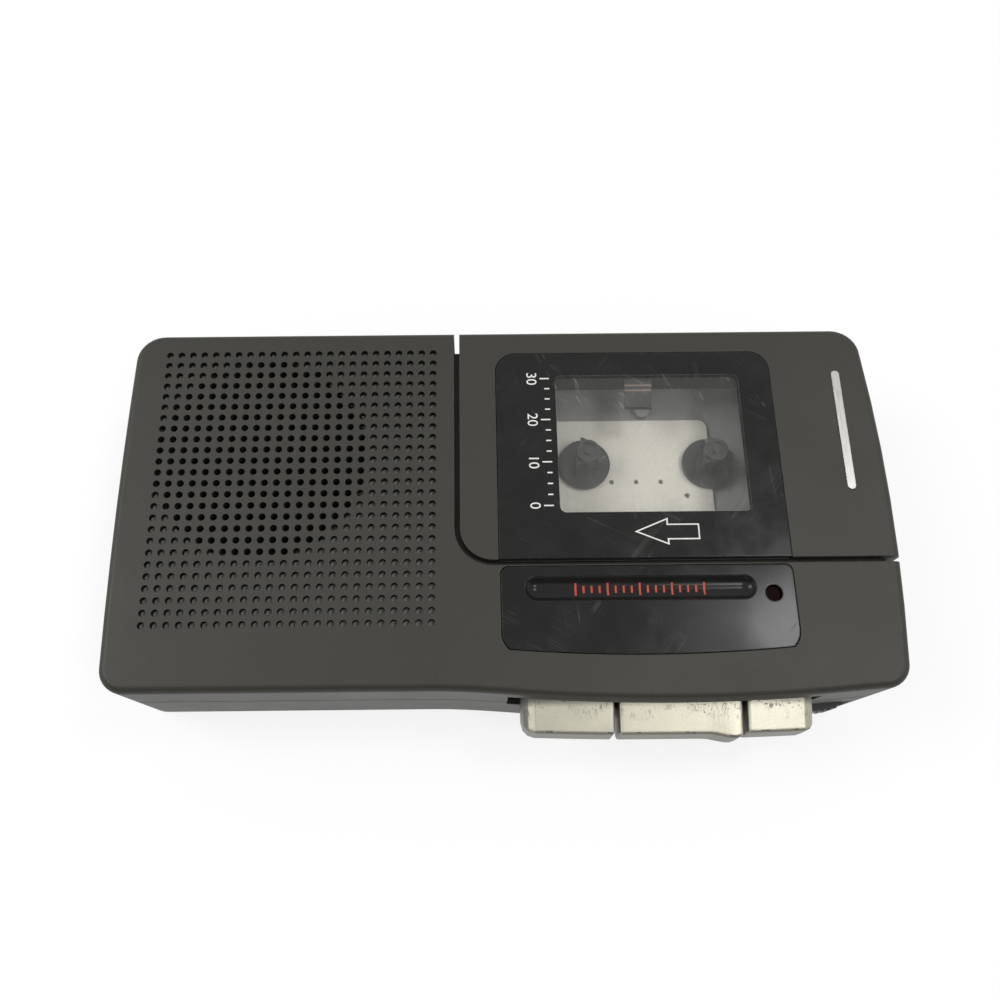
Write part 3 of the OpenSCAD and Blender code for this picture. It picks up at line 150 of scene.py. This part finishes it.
class Finish(Graph):
    """A material with one Principled shader, fed by expressions on the place in millimetres."""

    def __init__(self, name, constants=None):
        self.material = bpy.data.materials.new(name)
        self.material.use_nodes = True
        super().__init__(self.material.node_tree)
        surface = self.node("ShaderNodeBsdfPrincipled", {}, constants)
        self.shader = surface.socket.node
        self.node("ShaderNodeOutputMaterial", {}, {"Surface": surface}, None)
        object_place = self.node("ShaderNodeTexCoord", {}, {}, "Object")
        self.place = self.node("ShaderNodeVectorMath", {"operation": "SCALE"},
                               {0: object_place, "Scale": 1 / MM})
        self.x, self.y, self.z = self.parts(self.place)
        self.face = self.node("ShaderNodeNewGeometry", {}, {}, "True Normal")

    def parts(self, vector):
        """The three parts of a vector."""
        split = self.node("ShaderNodeSeparateXYZ", {}, {0: vector})
        return split.output("X"), split.output("Y"), split.output("Z")

    def feed(self, sockets):
        """Links or sets the shader's own sockets, and hands back the material."""
        self.fill(self.shader, sockets)
        return self.material

    def noise(self, size, detail=2.0, stretch=(1, 1, 1), turn=0.0):
        """Noise from 0 to 1 whose blobs are about size millimetres, longer where stretched."""
        place = self.place
        if stretch != (1, 1, 1) or turn:
            place = self.node("ShaderNodeVectorRotate", {"rotation_type": "Z_AXIS"},
                              {"Vector": place, "Angle": turn})
            place = self.node("ShaderNodeVectorMath", {"operation": "DIVIDE"}, {0: place, 1: stretch})
        return self.node("ShaderNodeTexNoise", {}, {"Vector": place, "Scale": 1 / size, "Detail": detail})

    def specks(self, pitch, radius, share):
        """Sparse round specks: one place in every pitch, of which only a share carries a speck."""
        cells = self.node("ShaderNodeTexVoronoi", {}, {"Vector": self.place, "Scale": 1 / pitch})
        chance = self.node("ShaderNodeSeparateColor", {}, {0: cells.output("Color")})
        chosen = chance.step(share, share - 0.02)
        return cells.step(radius / pitch, 0.4 * radius / pitch) * chosen

    def scratches(self, turn, spacing, width, share):
        """Hairlines: the middle contour of a noise drawn out along one direction, broken by another noise."""
        drawn = self.noise(spacing, 1.0, (60, 1, 1), turn)
        broken = self.noise(spacing * 4, 1.0).step(1 - share, 1.05 - share)
        return abs(drawn - 0.5).step(width, 0.0) * broken

    def wiped_hairlines(self):
        """Hairlines in three directions, as wiping leaves them on gloss."""
        first = self.scratches(0.5, 1.1, 0.012, 0.45)
        second = self.scratches(-0.9, 1.6, 0.01, 0.4)
        third = self.scratches(1.5, 2.2, 0.01, 0.4)
        return first + second + third

    def fine_dust(self):
        """Dust of two sizes, as it lies on gloss."""
        return self.specks(1.5, 0.05, 0.25) + self.specks(4.0, 0.09, 0.2)

    def mix(self, low, high, factor):
        """Colour from low to high by a factor."""
        return self.node("ShaderNodeMix", {"data_type": "RGBA"}, {0: factor, 6: low, 7: high}, 2)

    def soft_edges(self, radius):
        """Normal rounded over a radius in millimetres, so that a sharp CAD edge catches light."""
        return self.node("ShaderNodeBevel", {"samples": 6}, {"Radius": radius * MM})

    def edge_share(self, soft):
        """How far the rounded normal leans off the face: 0 on flats, near 1 on an edge."""
        lean = self.node("ShaderNodeVectorMath", {"operation": "DOT_PRODUCT"},
                         {0: soft, 1: self.face}, "Value")
        return (1 - lean).step(0.03, 0.28)

    def rubbed_edges(self, soft):
        """Edges worn in patches, as on handled gloss."""
        return self.edge_share(soft) * self.noise(1.6, 3.0).step(0.4, 0.7)

    def bump(self, height, depth, soft):
        """Normal of a height field of the given depth in millimetres, over the softened edges."""
        return self.node("ShaderNodeBump", {}, {"Height": height, "Distance": depth * MM, "Normal": soft})


def colour_of(red, green, blue):
    """An opaque colour."""
    return (red, green, blue, 1.0)


def grey(value, warm=0.0):
    """A neutral colour, tinted a little towards yellow where warm is above 0."""
    return colour_of(value, value * (1 - 0.2 * warm), value * (1 - warm))


def scaled(colour, factor):
    """A colour made darker or brighter, up to white."""
    return colour_of(*(min(1.0, factor * part) for part in colour[:3]))


def case_plastic(name, perforated):
    """Charcoal moulded plastic: fine grain, hand polish, dust and paler rubbed edges.

    The perforated plate has its hole walls painted black, as painted shade. The case has its upright walls
    painted paler, as a painted reflection of the floor, and its floor under the blind holes painted paler, as
    painted light.
    """
    f = Finish(name, {"Specular IOR Level": 0.32})
    cloud = f.noise(28.0, 3.0)
    grain = f.noise(0.28, 2.0)
    polish = f.noise(11.0, 2.0)
    dust = f.specks(2.6, 0.07, 0.2) + f.specks(7.0, 0.12, 0.25)
    face_z = f.parts(f.face)[2]
    upright = abs(face_z).step(0.5, 0.25)
    colour = f.mix(grey(0.021, 0.28), grey(0.028, 0.3), cloud)
    colour = f.mix(colour, grey(0.018, 0.26), grain.step(0.35, 0.75) * 0.5)
    colour = f.mix(colour, grey(0.3, 0.08), dust * 0.55)
    rough = 0.5 + 0.14 * (polish - 0.5) + 0.2 * dust
    if perforated:
        soft = f.face
        # Hole walls painted near black: painted shade inside the perforations.
        colour = f.mix(colour, grey(0.004), upright)
        rough = rough + 0.4 * upright
    else:
        by_grille = f.x.step(GRILLE_END_X, GRILLE_END_X - 0.1)
        flat = f.z.step(CASE_TOP - 0.03, CASE_TOP - 0.01) * by_grille
        soft = f.node("ShaderNodeMix", {"data_type": "VECTOR"}, {0: flat, 4: f.soft_edges(0.2), 5: f.face}, 1)
        rubbed = f.edge_share(soft) * f.noise(3.0, 3.0).step(0.35, 0.7)
        wall = upright * f.z.step(*WALL_TOP)
        low, high = GRILLE_FLOOR
        in_holes = f.z.step(low - 0.05, low) * f.z.step(high + 0.05, high) * by_grille
        painted_light_hole_floor = in_holes * face_z.step(0.9, 0.97)
        # Upright walls painted paler: a painted reflection of the white floor.
        colour = f.mix(colour, grey(0.06, 0.1), wall * 0.8)
        colour = f.mix(colour, grey(0.1, 0.08), rubbed * 0.5)
        # Floors of the blind holes painted paler: painted light, standing for light that reaches them from
        # above.
        colour = f.mix(colour, grey(0.19, 0.1), painted_light_hole_floor)
        rough = rough - 0.12 * rubbed
    return f.feed({"Base Color": colour, "Roughness": rough, "Normal": f.bump(grain, 0.022, soft)})


def gloss_panel():
    """Black gloss acrylic: hairline scratches, dust and a faint wipe haze."""
    f = Finish("gloss_panel", {"Specular IOR Level": 0.16})
    soft = f.soft_edges(0.25)
    lines = f.wiped_hairlines()
    dust = f.fine_dust()
    haze = f.noise(9.0, 3.0)
    colour = f.mix(grey(0.006, 0.02), grey(0.014, 0.04), haze)
    colour = f.mix(colour, grey(0.06, 0.06), lines * 0.3)
    colour = f.mix(colour, grey(0.25, 0.06), dust * 0.6)
    colour = f.mix(colour, grey(0.07, 0.06), f.rubbed_edges(soft) * 0.6)
    rough = 0.14 + 0.16 * haze.step(0.35, 0.8) + 0.12 * lines.lower_of(1.0) + 0.3 * dust
    return f.feed({"Base Color": colour, "Roughness": rough, "Normal": soft})


def past_middle(place, span):
    """How far a place lies past the straight part of a window side whose corners are round."""
    middle = sum(span) / 2
    straight = (span[1] - span[0]) / 2 - WINDOW_CORNER
    return (abs(place - middle) - straight).higher_of(0.0)


def clear_window():
    """Clear panel with a black printed border: hazed and scratched where it is clear."""
    f = Finish("clear_window", {"Specular IOR Level": 0.16})
    soft = f.soft_edges(0.25)
    over_x = past_middle(f.x, WINDOW_X)
    over_y = past_middle(f.y, WINDOW_Y)
    outside = f.node("ShaderNodeMath", {"operation": "SQRT"}, {0: over_x * over_x + over_y * over_y})
    printed = outside.step(WINDOW_CORNER - PRINT_BLUR, WINDOW_CORNER + PRINT_BLUR)
    lines = f.wiped_hairlines()
    scuffs = f.scratches(1.1, 0.7, 0.02, 0.4) * f.y.step(*SCUFFED_Y)
    dust = f.fine_dust()
    haze = f.noise(6.0, 4.0)
    marks = (lines * 0.2 + scuffs * 0.5 + dust * 0.4).lower_of(1.0)
    border = f.mix(grey(0.006, 0.02), grey(0.016, 0.04), haze)
    border = f.mix(border, grey(0.1, 0.06), marks * 0.7)
    border = f.mix(border, grey(0.07, 0.06), f.rubbed_edges(soft) * 0.6)
    clear = f.mix(grey(0.3, 0.03), grey(0.55, 0.04), marks)
    colour = f.mix(clear, border, printed)
    veil = 0.06 + 0.06 * haze + 0.4 * marks
    alpha = (veil + printed).lower_of(1.0)
    rough = 0.13 + 0.16 * haze.step(0.35, 0.8) + 0.25 * marks
    return f.feed({"Base Color": colour, "Alpha": alpha, "Roughness": rough, "Normal": soft})


def key_silver():
    """Champagne metal paint on plastic: sparkle, painted shade on the near face and left end, a painted
    highlight along the left edge, painted shade and dirt by the case, edge chips.
    """
    f = Finish("key_silver", {"Specular IOR Level": 0.5})
    soft = f.soft_edges(0.3)
    lean_x, lean_y = f.parts(soft)[:2]
    leftward = 0.0 - lean_x
    nearward = 0.0 - lean_y
    front = nearward.step(0.5, 0.85)
    nose = nearward.step(0.28, 0.4) * nearward.step(0.8, 0.6)
    shaded_left_end = leftward.step(0.45, 0.8)
    rim = leftward.step(0.15, 0.3) * leftward.step(0.6, 0.4)
    flake = f.noise(0.13, 1.0)
    cloud = f.noise(5.0, 3.0)
    shade = f.y.step(KEY_BACK_Y - 1.0, KEY_BACK_Y + 0.3)
    dirt = f.noise(0.35, 3.0).step(0.6, 0.68) * f.y.step(KEY_BACK_Y - 1.8, KEY_BACK_Y - 0.6)
    drawn = f.scratches(1.57, 0.5, 0.03, 0.5) * f.y.step(KEY_BACK_Y - 3.0, KEY_BACK_Y - 2.0)
    chips = nose * f.noise(1.4, 3.0).step(0.55, 0.62)
    worn = (dirt * 0.6 + drawn * 0.6 + chips).lower_of(1.0)
    colour = f.mix(grey(0.33, 0.24), grey(0.47, 0.22), flake)
    colour = f.mix(colour, grey(0.29, 0.24), cloud.step(0.5, 0.8) * 0.4)
    # Left edge painted paler: a painted highlight.
    colour = f.mix(colour, grey(0.62, 0.2), rim * 0.8)
    # Faces turned to the near side painted darker: painted shade, standing for the dim near side.
    colour = f.mix(colour, grey(0.1, 0.18), front * 0.9)
    # Left end painted darker: painted shade.
    colour = f.mix(colour, grey(0.15, 0.16), shaded_left_end * 0.9)
    # Band by the case edge painted darker: painted shade under the case's edge.
    colour = f.mix(colour, grey(0.08, 0.16), shade * 0.85)
    colour = f.mix(colour, grey(0.06, 0.2), worn)
    metal = 0.75 - 0.6 * worn
    rough = 0.32 + 0.1 * flake + 0.25 * worn
    normal = f.bump(flake - worn * 0.6, 0.012, soft)
    return f.feed({"Base Color": colour, "Metallic": metal, "Roughness": rough, "Normal": normal})


def metal_finish(name, low, high, rough, grain_size, stretch, stain):
    """Bare metal: drawn or rolled grain, faint stain and brighter edges."""
    f = Finish(name, {"Metallic": 1.0})
    soft = f.soft_edges(0.15)
    grain = f.noise(grain_size, 2.0, stretch)
    stained = f.noise(4.0, 3.0).step(0.45, 0.8)
    colour = f.mix(low, high, grain)
    colour = f.mix(colour, scaled(low, 0.55), stained * stain)
    rough_map = rough + 0.14 * (grain - 0.5) + 0.15 * stained - 0.08 * f.edge_share(soft)
    return f.feed({"Base Color": colour, "Roughness": rough_map, "Normal": f.bump(grain, 0.004, soft)})


def leaf_copper():
    """Dull leaf spring whose folds near the wall carry painted highlights as copper lines."""
    f = Finish("leaf_copper", {"Metallic": 0.4})
    grain = f.noise(0.3, 2.0, (10, 1, 1))
    first_fold_highlight, second_fold_highlight = (abs(f.y - fold_y).step(0.16, 0.06) for fold_y in LEAF_FOLD_Y)
    colour = f.mix(grey(0.012, 0.06), grey(0.018, 0.08), grain)
    # Copper lines along the folds: painted highlights.
    colour = f.mix(colour, colour_of(0.2, 0.15, 0.11), (first_fold_highlight + second_fold_highlight) * 0.8)
    normal = f.bump(grain, 0.004, f.soft_edges(0.1))
    return f.feed({"Base Color": colour, "Roughness": 0.4 + 0.14 * grain, "Normal": normal})


def deck_steel():
    """Warm grey coated deck plate: fine speckle and faint handling stain."""
    f = Finish("deck_steel", {"Specular IOR Level": 0.4})
    speckle = f.noise(0.35, 3.0)
    cloud = f.noise(6.0, 3.0)
    colour = f.mix(grey(0.66, 0.17), grey(0.84, 0.15), speckle)
    colour = f.mix(colour, grey(0.4, 0.25), cloud.step(0.55, 0.85) * 0.35)
    colour = f.mix(colour, grey(0.3, 0.2), f.specks(2.2, 0.1, 0.18) * 0.6)
    normal = f.bump(speckle, 0.006, f.soft_edges(0.15))
    return f.feed({"Base Color": colour, "Roughness": 0.42 + 0.2 * cloud, "Normal": normal})


def plastic_finish(name, low, high, rough, grain_size):
    """Plain moulded plastic: grain, cloudy gloss, dust and paler edges."""
    f = Finish(name, {"Specular IOR Level": 0.4})
    soft = f.soft_edges(0.2)
    grain = f.noise(grain_size, 2.0)
    cloud = f.noise(5.0, 3.0)
    dust = f.specks(1.8, 0.06, 0.25)
    colour = f.mix(low, high, cloud)
    colour = f.mix(colour, scaled(high, 2.2), f.edge_share(soft) * 0.5)
    colour = f.mix(colour, grey(0.3, 0.05), dust * 0.5)
    rough_map = rough + 0.16 * (cloud - 0.5) + 0.2 * dust
    return f.feed({"Base Color": colour, "Roughness": rough_map, "Normal": f.bump(grain, 0.012, soft)})


def board_green():
    """Circuit board: green resist over paler copper tracks in a staggered grid."""
    f = Finish("board_green", {"Specular IOR Level": 0.5})
    tracks = f.node("ShaderNodeTexBrick", {"offset": 0.5},
                    {"Vector": f.place, "Scale": 1 / TRACK_PITCH, "Mortar Size": 0.06,
                     "Color1": grey(0.0), "Color2": grey(0.0), "Mortar": grey(1.0)}, 1)
    cloud = f.noise(3.0, 3.0)
    colour = f.mix(colour_of(0.012, 0.09, 0.03), colour_of(0.02, 0.14, 0.05), cloud)
    colour = f.mix(colour, colour_of(0.05, 0.26, 0.09), tracks * cloud.step(0.3, 0.5))
    normal = f.bump(tracks, 0.03, f.soft_edges(0.1))
    return f.feed({"Base Color": colour, "Roughness": 0.3 + 0.15 * cloud, "Normal": normal})


def lamp_red():
    """Unlit red lamp behind its hole: its red darkened to nearly black as painted shade in the hole, with a
    faint cloud.
    """
    f = Finish("lamp_red", {"Specular IOR Level": 0.03})
    cloud = f.noise(0.8, 2.0)
    # Red darkened to nearly black: painted shade in the lamp's hole.
    colour = f.mix(colour_of(0.004, 0.001, 0.001), colour_of(0.008, 0.001, 0.001), cloud)
    return f.feed({"Base Color": colour, "Roughness": 0.4 + 0.12 * cloud, "Normal": f.soft_edges(0.3)})


def print_ink(name, low, high):
    """Screen-printed ink: pinholes and slight fading."""
    f = Finish(name, {"Specular IOR Level": 0.3})
    fade = f.noise(1.2, 3.0)
    holes = f.noise(0.15, 2.0).step(0.7, 0.8)
    colour = f.mix(f.mix(high, low, fade), low, holes)
    return f.feed({"Base Color": colour, "Roughness": 0.45 + 0.2 * fade})


def cell_sleeve():
    """Printed cell sleeve: satin film in two plain bands."""
    f = Finish("cell_sleeve", {"Specular IOR Level": 0.5})
    cloud = f.noise(2.0, 2.0)
    colour = f.mix(grey(0.02), colour_of(0.52, 0.3, 0.06), f.y.step(*CELL_BAND_Y))
    colour = f.mix(colour, grey(0.3, 0.3), cloud.step(0.6, 0.8) * 0.2)
    return f.feed({"Base Color": colour, "Roughness": 0.25 + 0.15 * cloud, "Normal": f.soft_edges(0.2)})


brass_low = colour_of(0.52, 0.38, 0.16)
brass_high = colour_of(0.68, 0.52, 0.24)
FINISHES = {
    "case_plastic": case_plastic("case_plastic", False),
    "gloss_panel": gloss_panel(),
    "clear_window": clear_window(),
    "key_silver": key_silver(),
    "trim_silver": metal_finish("trim_silver", grey(0.3, 0.06), grey(0.46, 0.06), 0.3, 0.2, (1, 12, 1), 0.25),
    "black_plastic": plastic_finish("black_plastic", grey(0.012, 0.05), grey(0.024, 0.05), 0.38, 0.3),
    "deck_steel": deck_steel(),
    "steel": metal_finish("steel", grey(0.5, 0.04), grey(0.66, 0.04), 0.28, 0.25, (1, 1, 10), 0.3),
    "spring_copper": leaf_copper(),
    "brass": metal_finish("brass", brass_low, brass_high, 0.3, 0.3, (1, 1, 8), 0.3),
    "rubber": plastic_finish("rubber", grey(0.01, 0.02), grey(0.018, 0.02), 0.75, 0.2),
    "board_green": board_green(),
    "lamp_red": lamp_red(),
    "paper_black": plastic_finish("paper_black", grey(0.006, 0.02), grey(0.012, 0.02), 0.9, 0.5),
    "cell_sleeve": cell_sleeve(),
}
# Nodes whose finish differs from the rest of their material: the grille's hole walls carry painted shade, the
# chassis is a paler grey as painted light, and the spindles are a glossier black
spindle_black = plastic_finish("spindle_black", grey(0.022), grey(0.036), 0.24, 0.4)
NODE_FINISHES = {
    "speaker_grille": case_plastic("grille_plastic", True),
    # Chassis painted a paler grey than its dark plastic: painted light in the tape bay.
    "mech_chassis": plastic_finish("chassis_painted_light_grey", grey(0.24, 0.03), grey(0.31, 0.03), 0.5, 0.3),
    "takeup_spindle": spindle_black,
    "supply_spindle": spindle_black,
}
for row in frame["record"]["subparts"]:
    finish = NODE_FINISHES.get(row["node"], FINISHES[row["material_slot"]])
    for material_slot in frame["nodes"][row["node"]].material_slots:
        material_slot.material = finish


def add_piece(name, mesh, material, body):
    """Puts a mesh into the scene as a new piece that rides on a body."""
    mesh.name = name
    mesh.materials.append(material)
    piece = bpy.data.objects.new(name, mesh)
    scene.collection.objects.link(piece)
    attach(piece, body)
    return piece


def piece_from(name, points, faces, material, body):
    """A new piece from arrays of points in millimetres and faces, riding on a body."""
    mesh = bpy.data.meshes.new(name)
    mesh.from_pydata((np.asarray(points, float) * MM).tolist(), [], np.asarray(faces).tolist())
    mesh.validate()
    return add_piece(name, mesh, material, body)


def outline_band(corners, width, low, high):
    """A closed band along a polygon, between two heights.

    Each corner moves in and out along its mitre by half the width.
    """
    p = np.asarray(corners, float)
    ahead = np.roll(p, -1, 0) - p
    ahead /= np.linalg.norm(ahead, axis=1)[:, None]
    behind = np.roll(ahead, 1, 0)
    normal = np.stack([ahead[:, 1], -ahead[:, 0]], 1)
    normal_behind = np.stack([behind[:, 1], -behind[:, 0]], 1)
    mitre = normal + normal_behind
    mitre *= (width / (mitre * normal).sum(1) / 2)[:, None]
    n = len(p)
    section = ((1, low), (1, high), (-1, high), (-1, low))
    rings = [np.column_stack([p + side * mitre, np.full(n, z)]) for side, z in section]
    i = np.arange(n)
    j = (i + 1) % n
    starts = [(k * n, (k + 1) % 4 * n) for k in range(4)]
    faces = [np.stack([here + i, here + j, after + j, after + i], 1) for here, after in starts]
    return np.concatenate(rings), np.concatenate(faces)


def bars(centres, sizes, height, thick, steps):
    """Thin bars laid on a height field.

    Each is a grid of steps along y by 2 along x, raised by its thickness and closed below and at its rim.
    """
    along_share, across_share = np.meshgrid(np.linspace(-0.5, 0.5, steps), [-0.5, 0.5], indexing="ij")
    points, faces = [], []
    count = steps * 2
    a = (np.arange(steps - 1) * 2)[:, None]
    top = a + np.array([2, 3, 1, 0])
    bottom = a + np.array([0, 1, 3, 2]) + count
    left = a + np.array([count, 2 + count, 2, 0])
    right = a + np.array([1, 3, 3 + count, 1 + count])
    near_end = np.array([[0, 1, 1 + count, count]])
    far_end = np.array([[2 * count - 2, 2 * count - 1, count - 1, count - 2]])
    block = np.concatenate([top, bottom, left, right, near_end, far_end])
    for k, ((cx, cy), (along, across)) in enumerate(zip(centres, sizes)):
        x = cx + across_share.ravel() * across
        y = cy + along_share.ravel() * along
        z = height(x, y)
        points += [np.column_stack([x, y, z + thick]), np.column_stack([x, y, z])]
        faces.append(block + 2 * count * k)
    return np.concatenate(points), np.concatenate(faces)


def level(x, y):
    """Height of the flat top face."""
    return np.full_like(x, CASE_TOP)


def scoop_floor(x, y):
    """Height of the scoop's round floor: the lower arc of a circle about its long axis."""
    across = np.clip(y - SCOOP_Y, -SCOOP_HALF, SCOOP_HALF)
    return CASE_TOP - SCOOP_DEPTH + SCOOP_RADIUS - np.sqrt(SCOOP_RADIUS ** 2 - across ** 2)


def number_piece(name, text, place, size, turn, material, body):
    """A plain number as a thin mesh: turned, then set with its middle at a place on the top face."""
    curve = bpy.data.curves.new(name, "FONT")
    curve.body = text
    curve.size = size * MM
    curve.extrude = 0.5 * PRINT_THICK * MM
    curve.align_x = "CENTER"
    curve.align_y = "CENTER"
    shape = bpy.data.objects.new(name, curve)
    mesh = bpy.data.meshes.new_from_object(shape)
    middle = Vector((place[0], place[1], CASE_TOP + 0.5 * PRINT_THICK)) * MM
    mesh.transform(Matrix.Translation(middle) @ Matrix.Rotation(turn, 4, "Z"))
    bpy.data.objects.remove(shape)
    bpy.data.curves.remove(curve)
    mesh.materials.clear()
    return add_piece(name, mesh, material, body)


white_ink = print_ink("white_ink", grey(0.5, 0.05), grey(0.78, 0.04))
red_ink = print_ink("red_ink", colour_of(0.28, 0.035, 0.025), colour_of(0.5, 0.07, 0.05))

# Tape direction arrow below the window
ARROW_LINE = 0.2
ARROW = [
    (19.9, -5.31), (24.7, -3.31), (24.65, -4.22), (29.38, -4.22),
    (29.38, -6.52), (24.65, -6.52), (24.7, -7.31),
]
points, faces = outline_band(ARROW, ARROW_LINE, CASE_TOP, CASE_TOP + PRINT_THICK)
piece_from("tape_arrow", points, faces, white_ink, "lid")

# Time scale beside the window: ticks and plain numbers
TICK_COUNT = 13
TICK_END_X = 7.6
TICK_LINE = 0.22
TICK_LONG = 1.5
TICK_SHORT = 0.8
NUMBER_X = 4.7
NUMBER_SIZE = 2.3
scale_y = np.linspace(20.6, -1.0, TICK_COUNT)
scale_long = np.arange(TICK_COUNT) % 4 == 0
tick_sizes = [(TICK_LINE, TICK_LONG if wide else TICK_SHORT) for wide in scale_long]
tick_places = [(TICK_END_X - 0.5 * across, y) for y, (along, across) in zip(scale_y, tick_sizes)]
points, faces = bars(tick_places, tick_sizes, level, PRINT_THICK, 2)
piece_from("time_ticks", points, faces, white_ink, "lid")
for text, number_y in zip(("30", "20", "10", "0"), scale_y[scale_long]):
    number_piece("time_number_" + text, text, (NUMBER_X, number_y), NUMBER_SIZE, -math.pi / 2,
                 white_ink, "lid")

# Red level marks along the floor of the scoop
MARK_COUNT = 17
MARK_LINE = 0.3
MARK_LONG = 1.9
MARK_SHORT = 1.1
mark_places = [(x, SCOOP_Y) for x in np.linspace(10.4, 29.6, MARK_COUNT)]
mark_sizes = [(MARK_LONG if k % 4 == 0 else MARK_SHORT, MARK_LINE) for k in range(MARK_COUNT)]
points, faces = bars(mark_places, mark_sizes, scoop_floor, PRINT_THICK, 9)
piece_from("level_marks", points, faces, red_ink, "case")

# Key springs: the solids' own coils, as pieces riding on the case
for key in ("stop", "play", "record"):
    spring_node = key + "_spring"
    coil = frame["nodes"][spring_node].data.copy()
    coil.materials.clear()
    spring = add_piece(key + "_coil", coil, FINISHES["steel"], "case")
    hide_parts(spring_node)
    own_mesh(spring)


def stage_plane(name, corners, material):
    """A plain four-cornered sheet, in metres, that isn't part of the object."""
    mesh = bpy.data.meshes.new(name)
    mesh.from_pydata(corners, [], [(0, 1, 2, 3)])
    mesh.materials.append(material)
    plane = bpy.data.objects.new(name, mesh)
    scene.collection.objects.link(plane)
    return plane


WHITE = grey(1.0)

# White floor that keeps the object's soft shadow
FLOOR_HALF = 20.0
FLOOR_GLOW = 0.8
floor_white = bpy.data.materials.new("floor_white")
floor_white.use_nodes = True
g = Graph(floor_white.node_tree)
matte = g.node("ShaderNodeBsdfDiffuse", {}, {"Color": grey(0.86)})
glow = g.node("ShaderNodeEmission", {}, {"Color": WHITE})
blend = g.node("ShaderNodeMixShader", {}, {0: FLOOR_GLOW * g.seen_plainly(), 1: matte, 2: glow})
g.node("ShaderNodeOutputMaterial", {}, {"Surface": blend}, None)
floor_corners = [(-FLOOR_HALF, -FLOOR_HALF, 0), (FLOOR_HALF, -FLOOR_HALF, 0),
                 (FLOOR_HALF, FLOOR_HALF, 0), (-FLOOR_HALF, FLOOR_HALF, 0)]
stage_plane("floor", floor_corners, floor_white)

# Dark card on the near side, seen only in reflections, as the dim side of the room
CARD_Y = -0.35
CARD_HALF = 0.6
CARD_LOW = 0.08
CARD_HIGH = 0.55
card_black = bpy.data.materials.new("card_black")
card_black.use_nodes = True
g = Graph(card_black.node_tree)
matte = g.node("ShaderNodeBsdfDiffuse", {}, {"Color": grey(0.01)})
g.node("ShaderNodeOutputMaterial", {}, {"Surface": matte}, None)
card_corners = [(-CARD_HALF, CARD_Y, CARD_LOW), (CARD_HALF, CARD_Y, CARD_LOW),
                (CARD_HALF, CARD_Y, CARD_HIGH), (-CARD_HALF, CARD_Y, CARD_HIGH)]
card = stage_plane("dark_card", card_corners, card_black)
card.visible_camera = False
card.visible_diffuse = False
card.visible_transmission = False
card.visible_shadow = False

# World: plain soft light, white where it is seen
WORLD_LEVEL = 0.62
world = bpy.data.worlds.new("studio")
world.use_nodes = True
g = Graph(world.node_tree)
plain = g.node("ShaderNodeBackground", {}, {"Color": WHITE, "Strength": WORLD_LEVEL})
white = g.node("ShaderNodeBackground", {}, {"Color": WHITE, "Strength": 1.0})
blend = g.node("ShaderNodeMixShader", {}, {0: g.seen_plainly(), 1: plain, 2: white})
g.node("ShaderNodeOutputWorld", {}, {"Surface": blend}, None)
scene.world = world


def soft_box(name, place, aim, size, power):
    """A square soft light aimed at a point, in metres and watts."""
    light = bpy.data.lights.new(name, "AREA")
    light.size = size
    light.energy = power
    lamp = bpy.data.objects.new(name, light)
    lamp.location = place
    lamp.rotation_euler = (Vector(aim) - Vector(place)).to_track_quat("-Z", "Y").to_euler()
    scene.collection.objects.link(lamp)


soft_box("left_light", (-0.5, 0.08, 0.6), (0.0, 0.0, 0.02), 0.3, 2.5)
soft_box("right_light", (0.31, 0.1, 0.7), (0.03, -0.02, 0.02), 0.14, 1.1)
soft_box("key_light", (0.25, -0.19, 0.6), (0.03, -0.03, 0.02), 0.14, 0.82)

# Camera at the photograph's viewing angle
CAMERA_PLACE = Vector((-4.6814, -47.6125, 155.2217)) * MM
CAMERA_RIGHT = Vector((0.99994915, -0.01004368, -0.00090656))
CAMERA_DOWN = Vector((-0.00979141, -0.94543920, -0.32565143))
CAMERA_FORWARD = Vector((0.00241364, 0.32564375, -0.94548946))
camera_data = bpy.data.cameras.new("camera")
camera_data.sensor_width = 36.0
camera_data.lens = 32.83
camera_data.shift_x = 0.0242
camera_data.shift_y = 0.0150
camera_data.clip_start = 0.001
camera = bpy.data.objects.new("camera", camera_data)
camera_turn = Matrix((CAMERA_RIGHT, -CAMERA_DOWN, -CAMERA_FORWARD)).transposed().to_4x4()
camera.matrix_world = Matrix.Translation(CAMERA_PLACE) @ camera_turn
scene.collection.objects.link(camera)
scene.camera = camera

scene.view_settings.view_transform = "Standard"
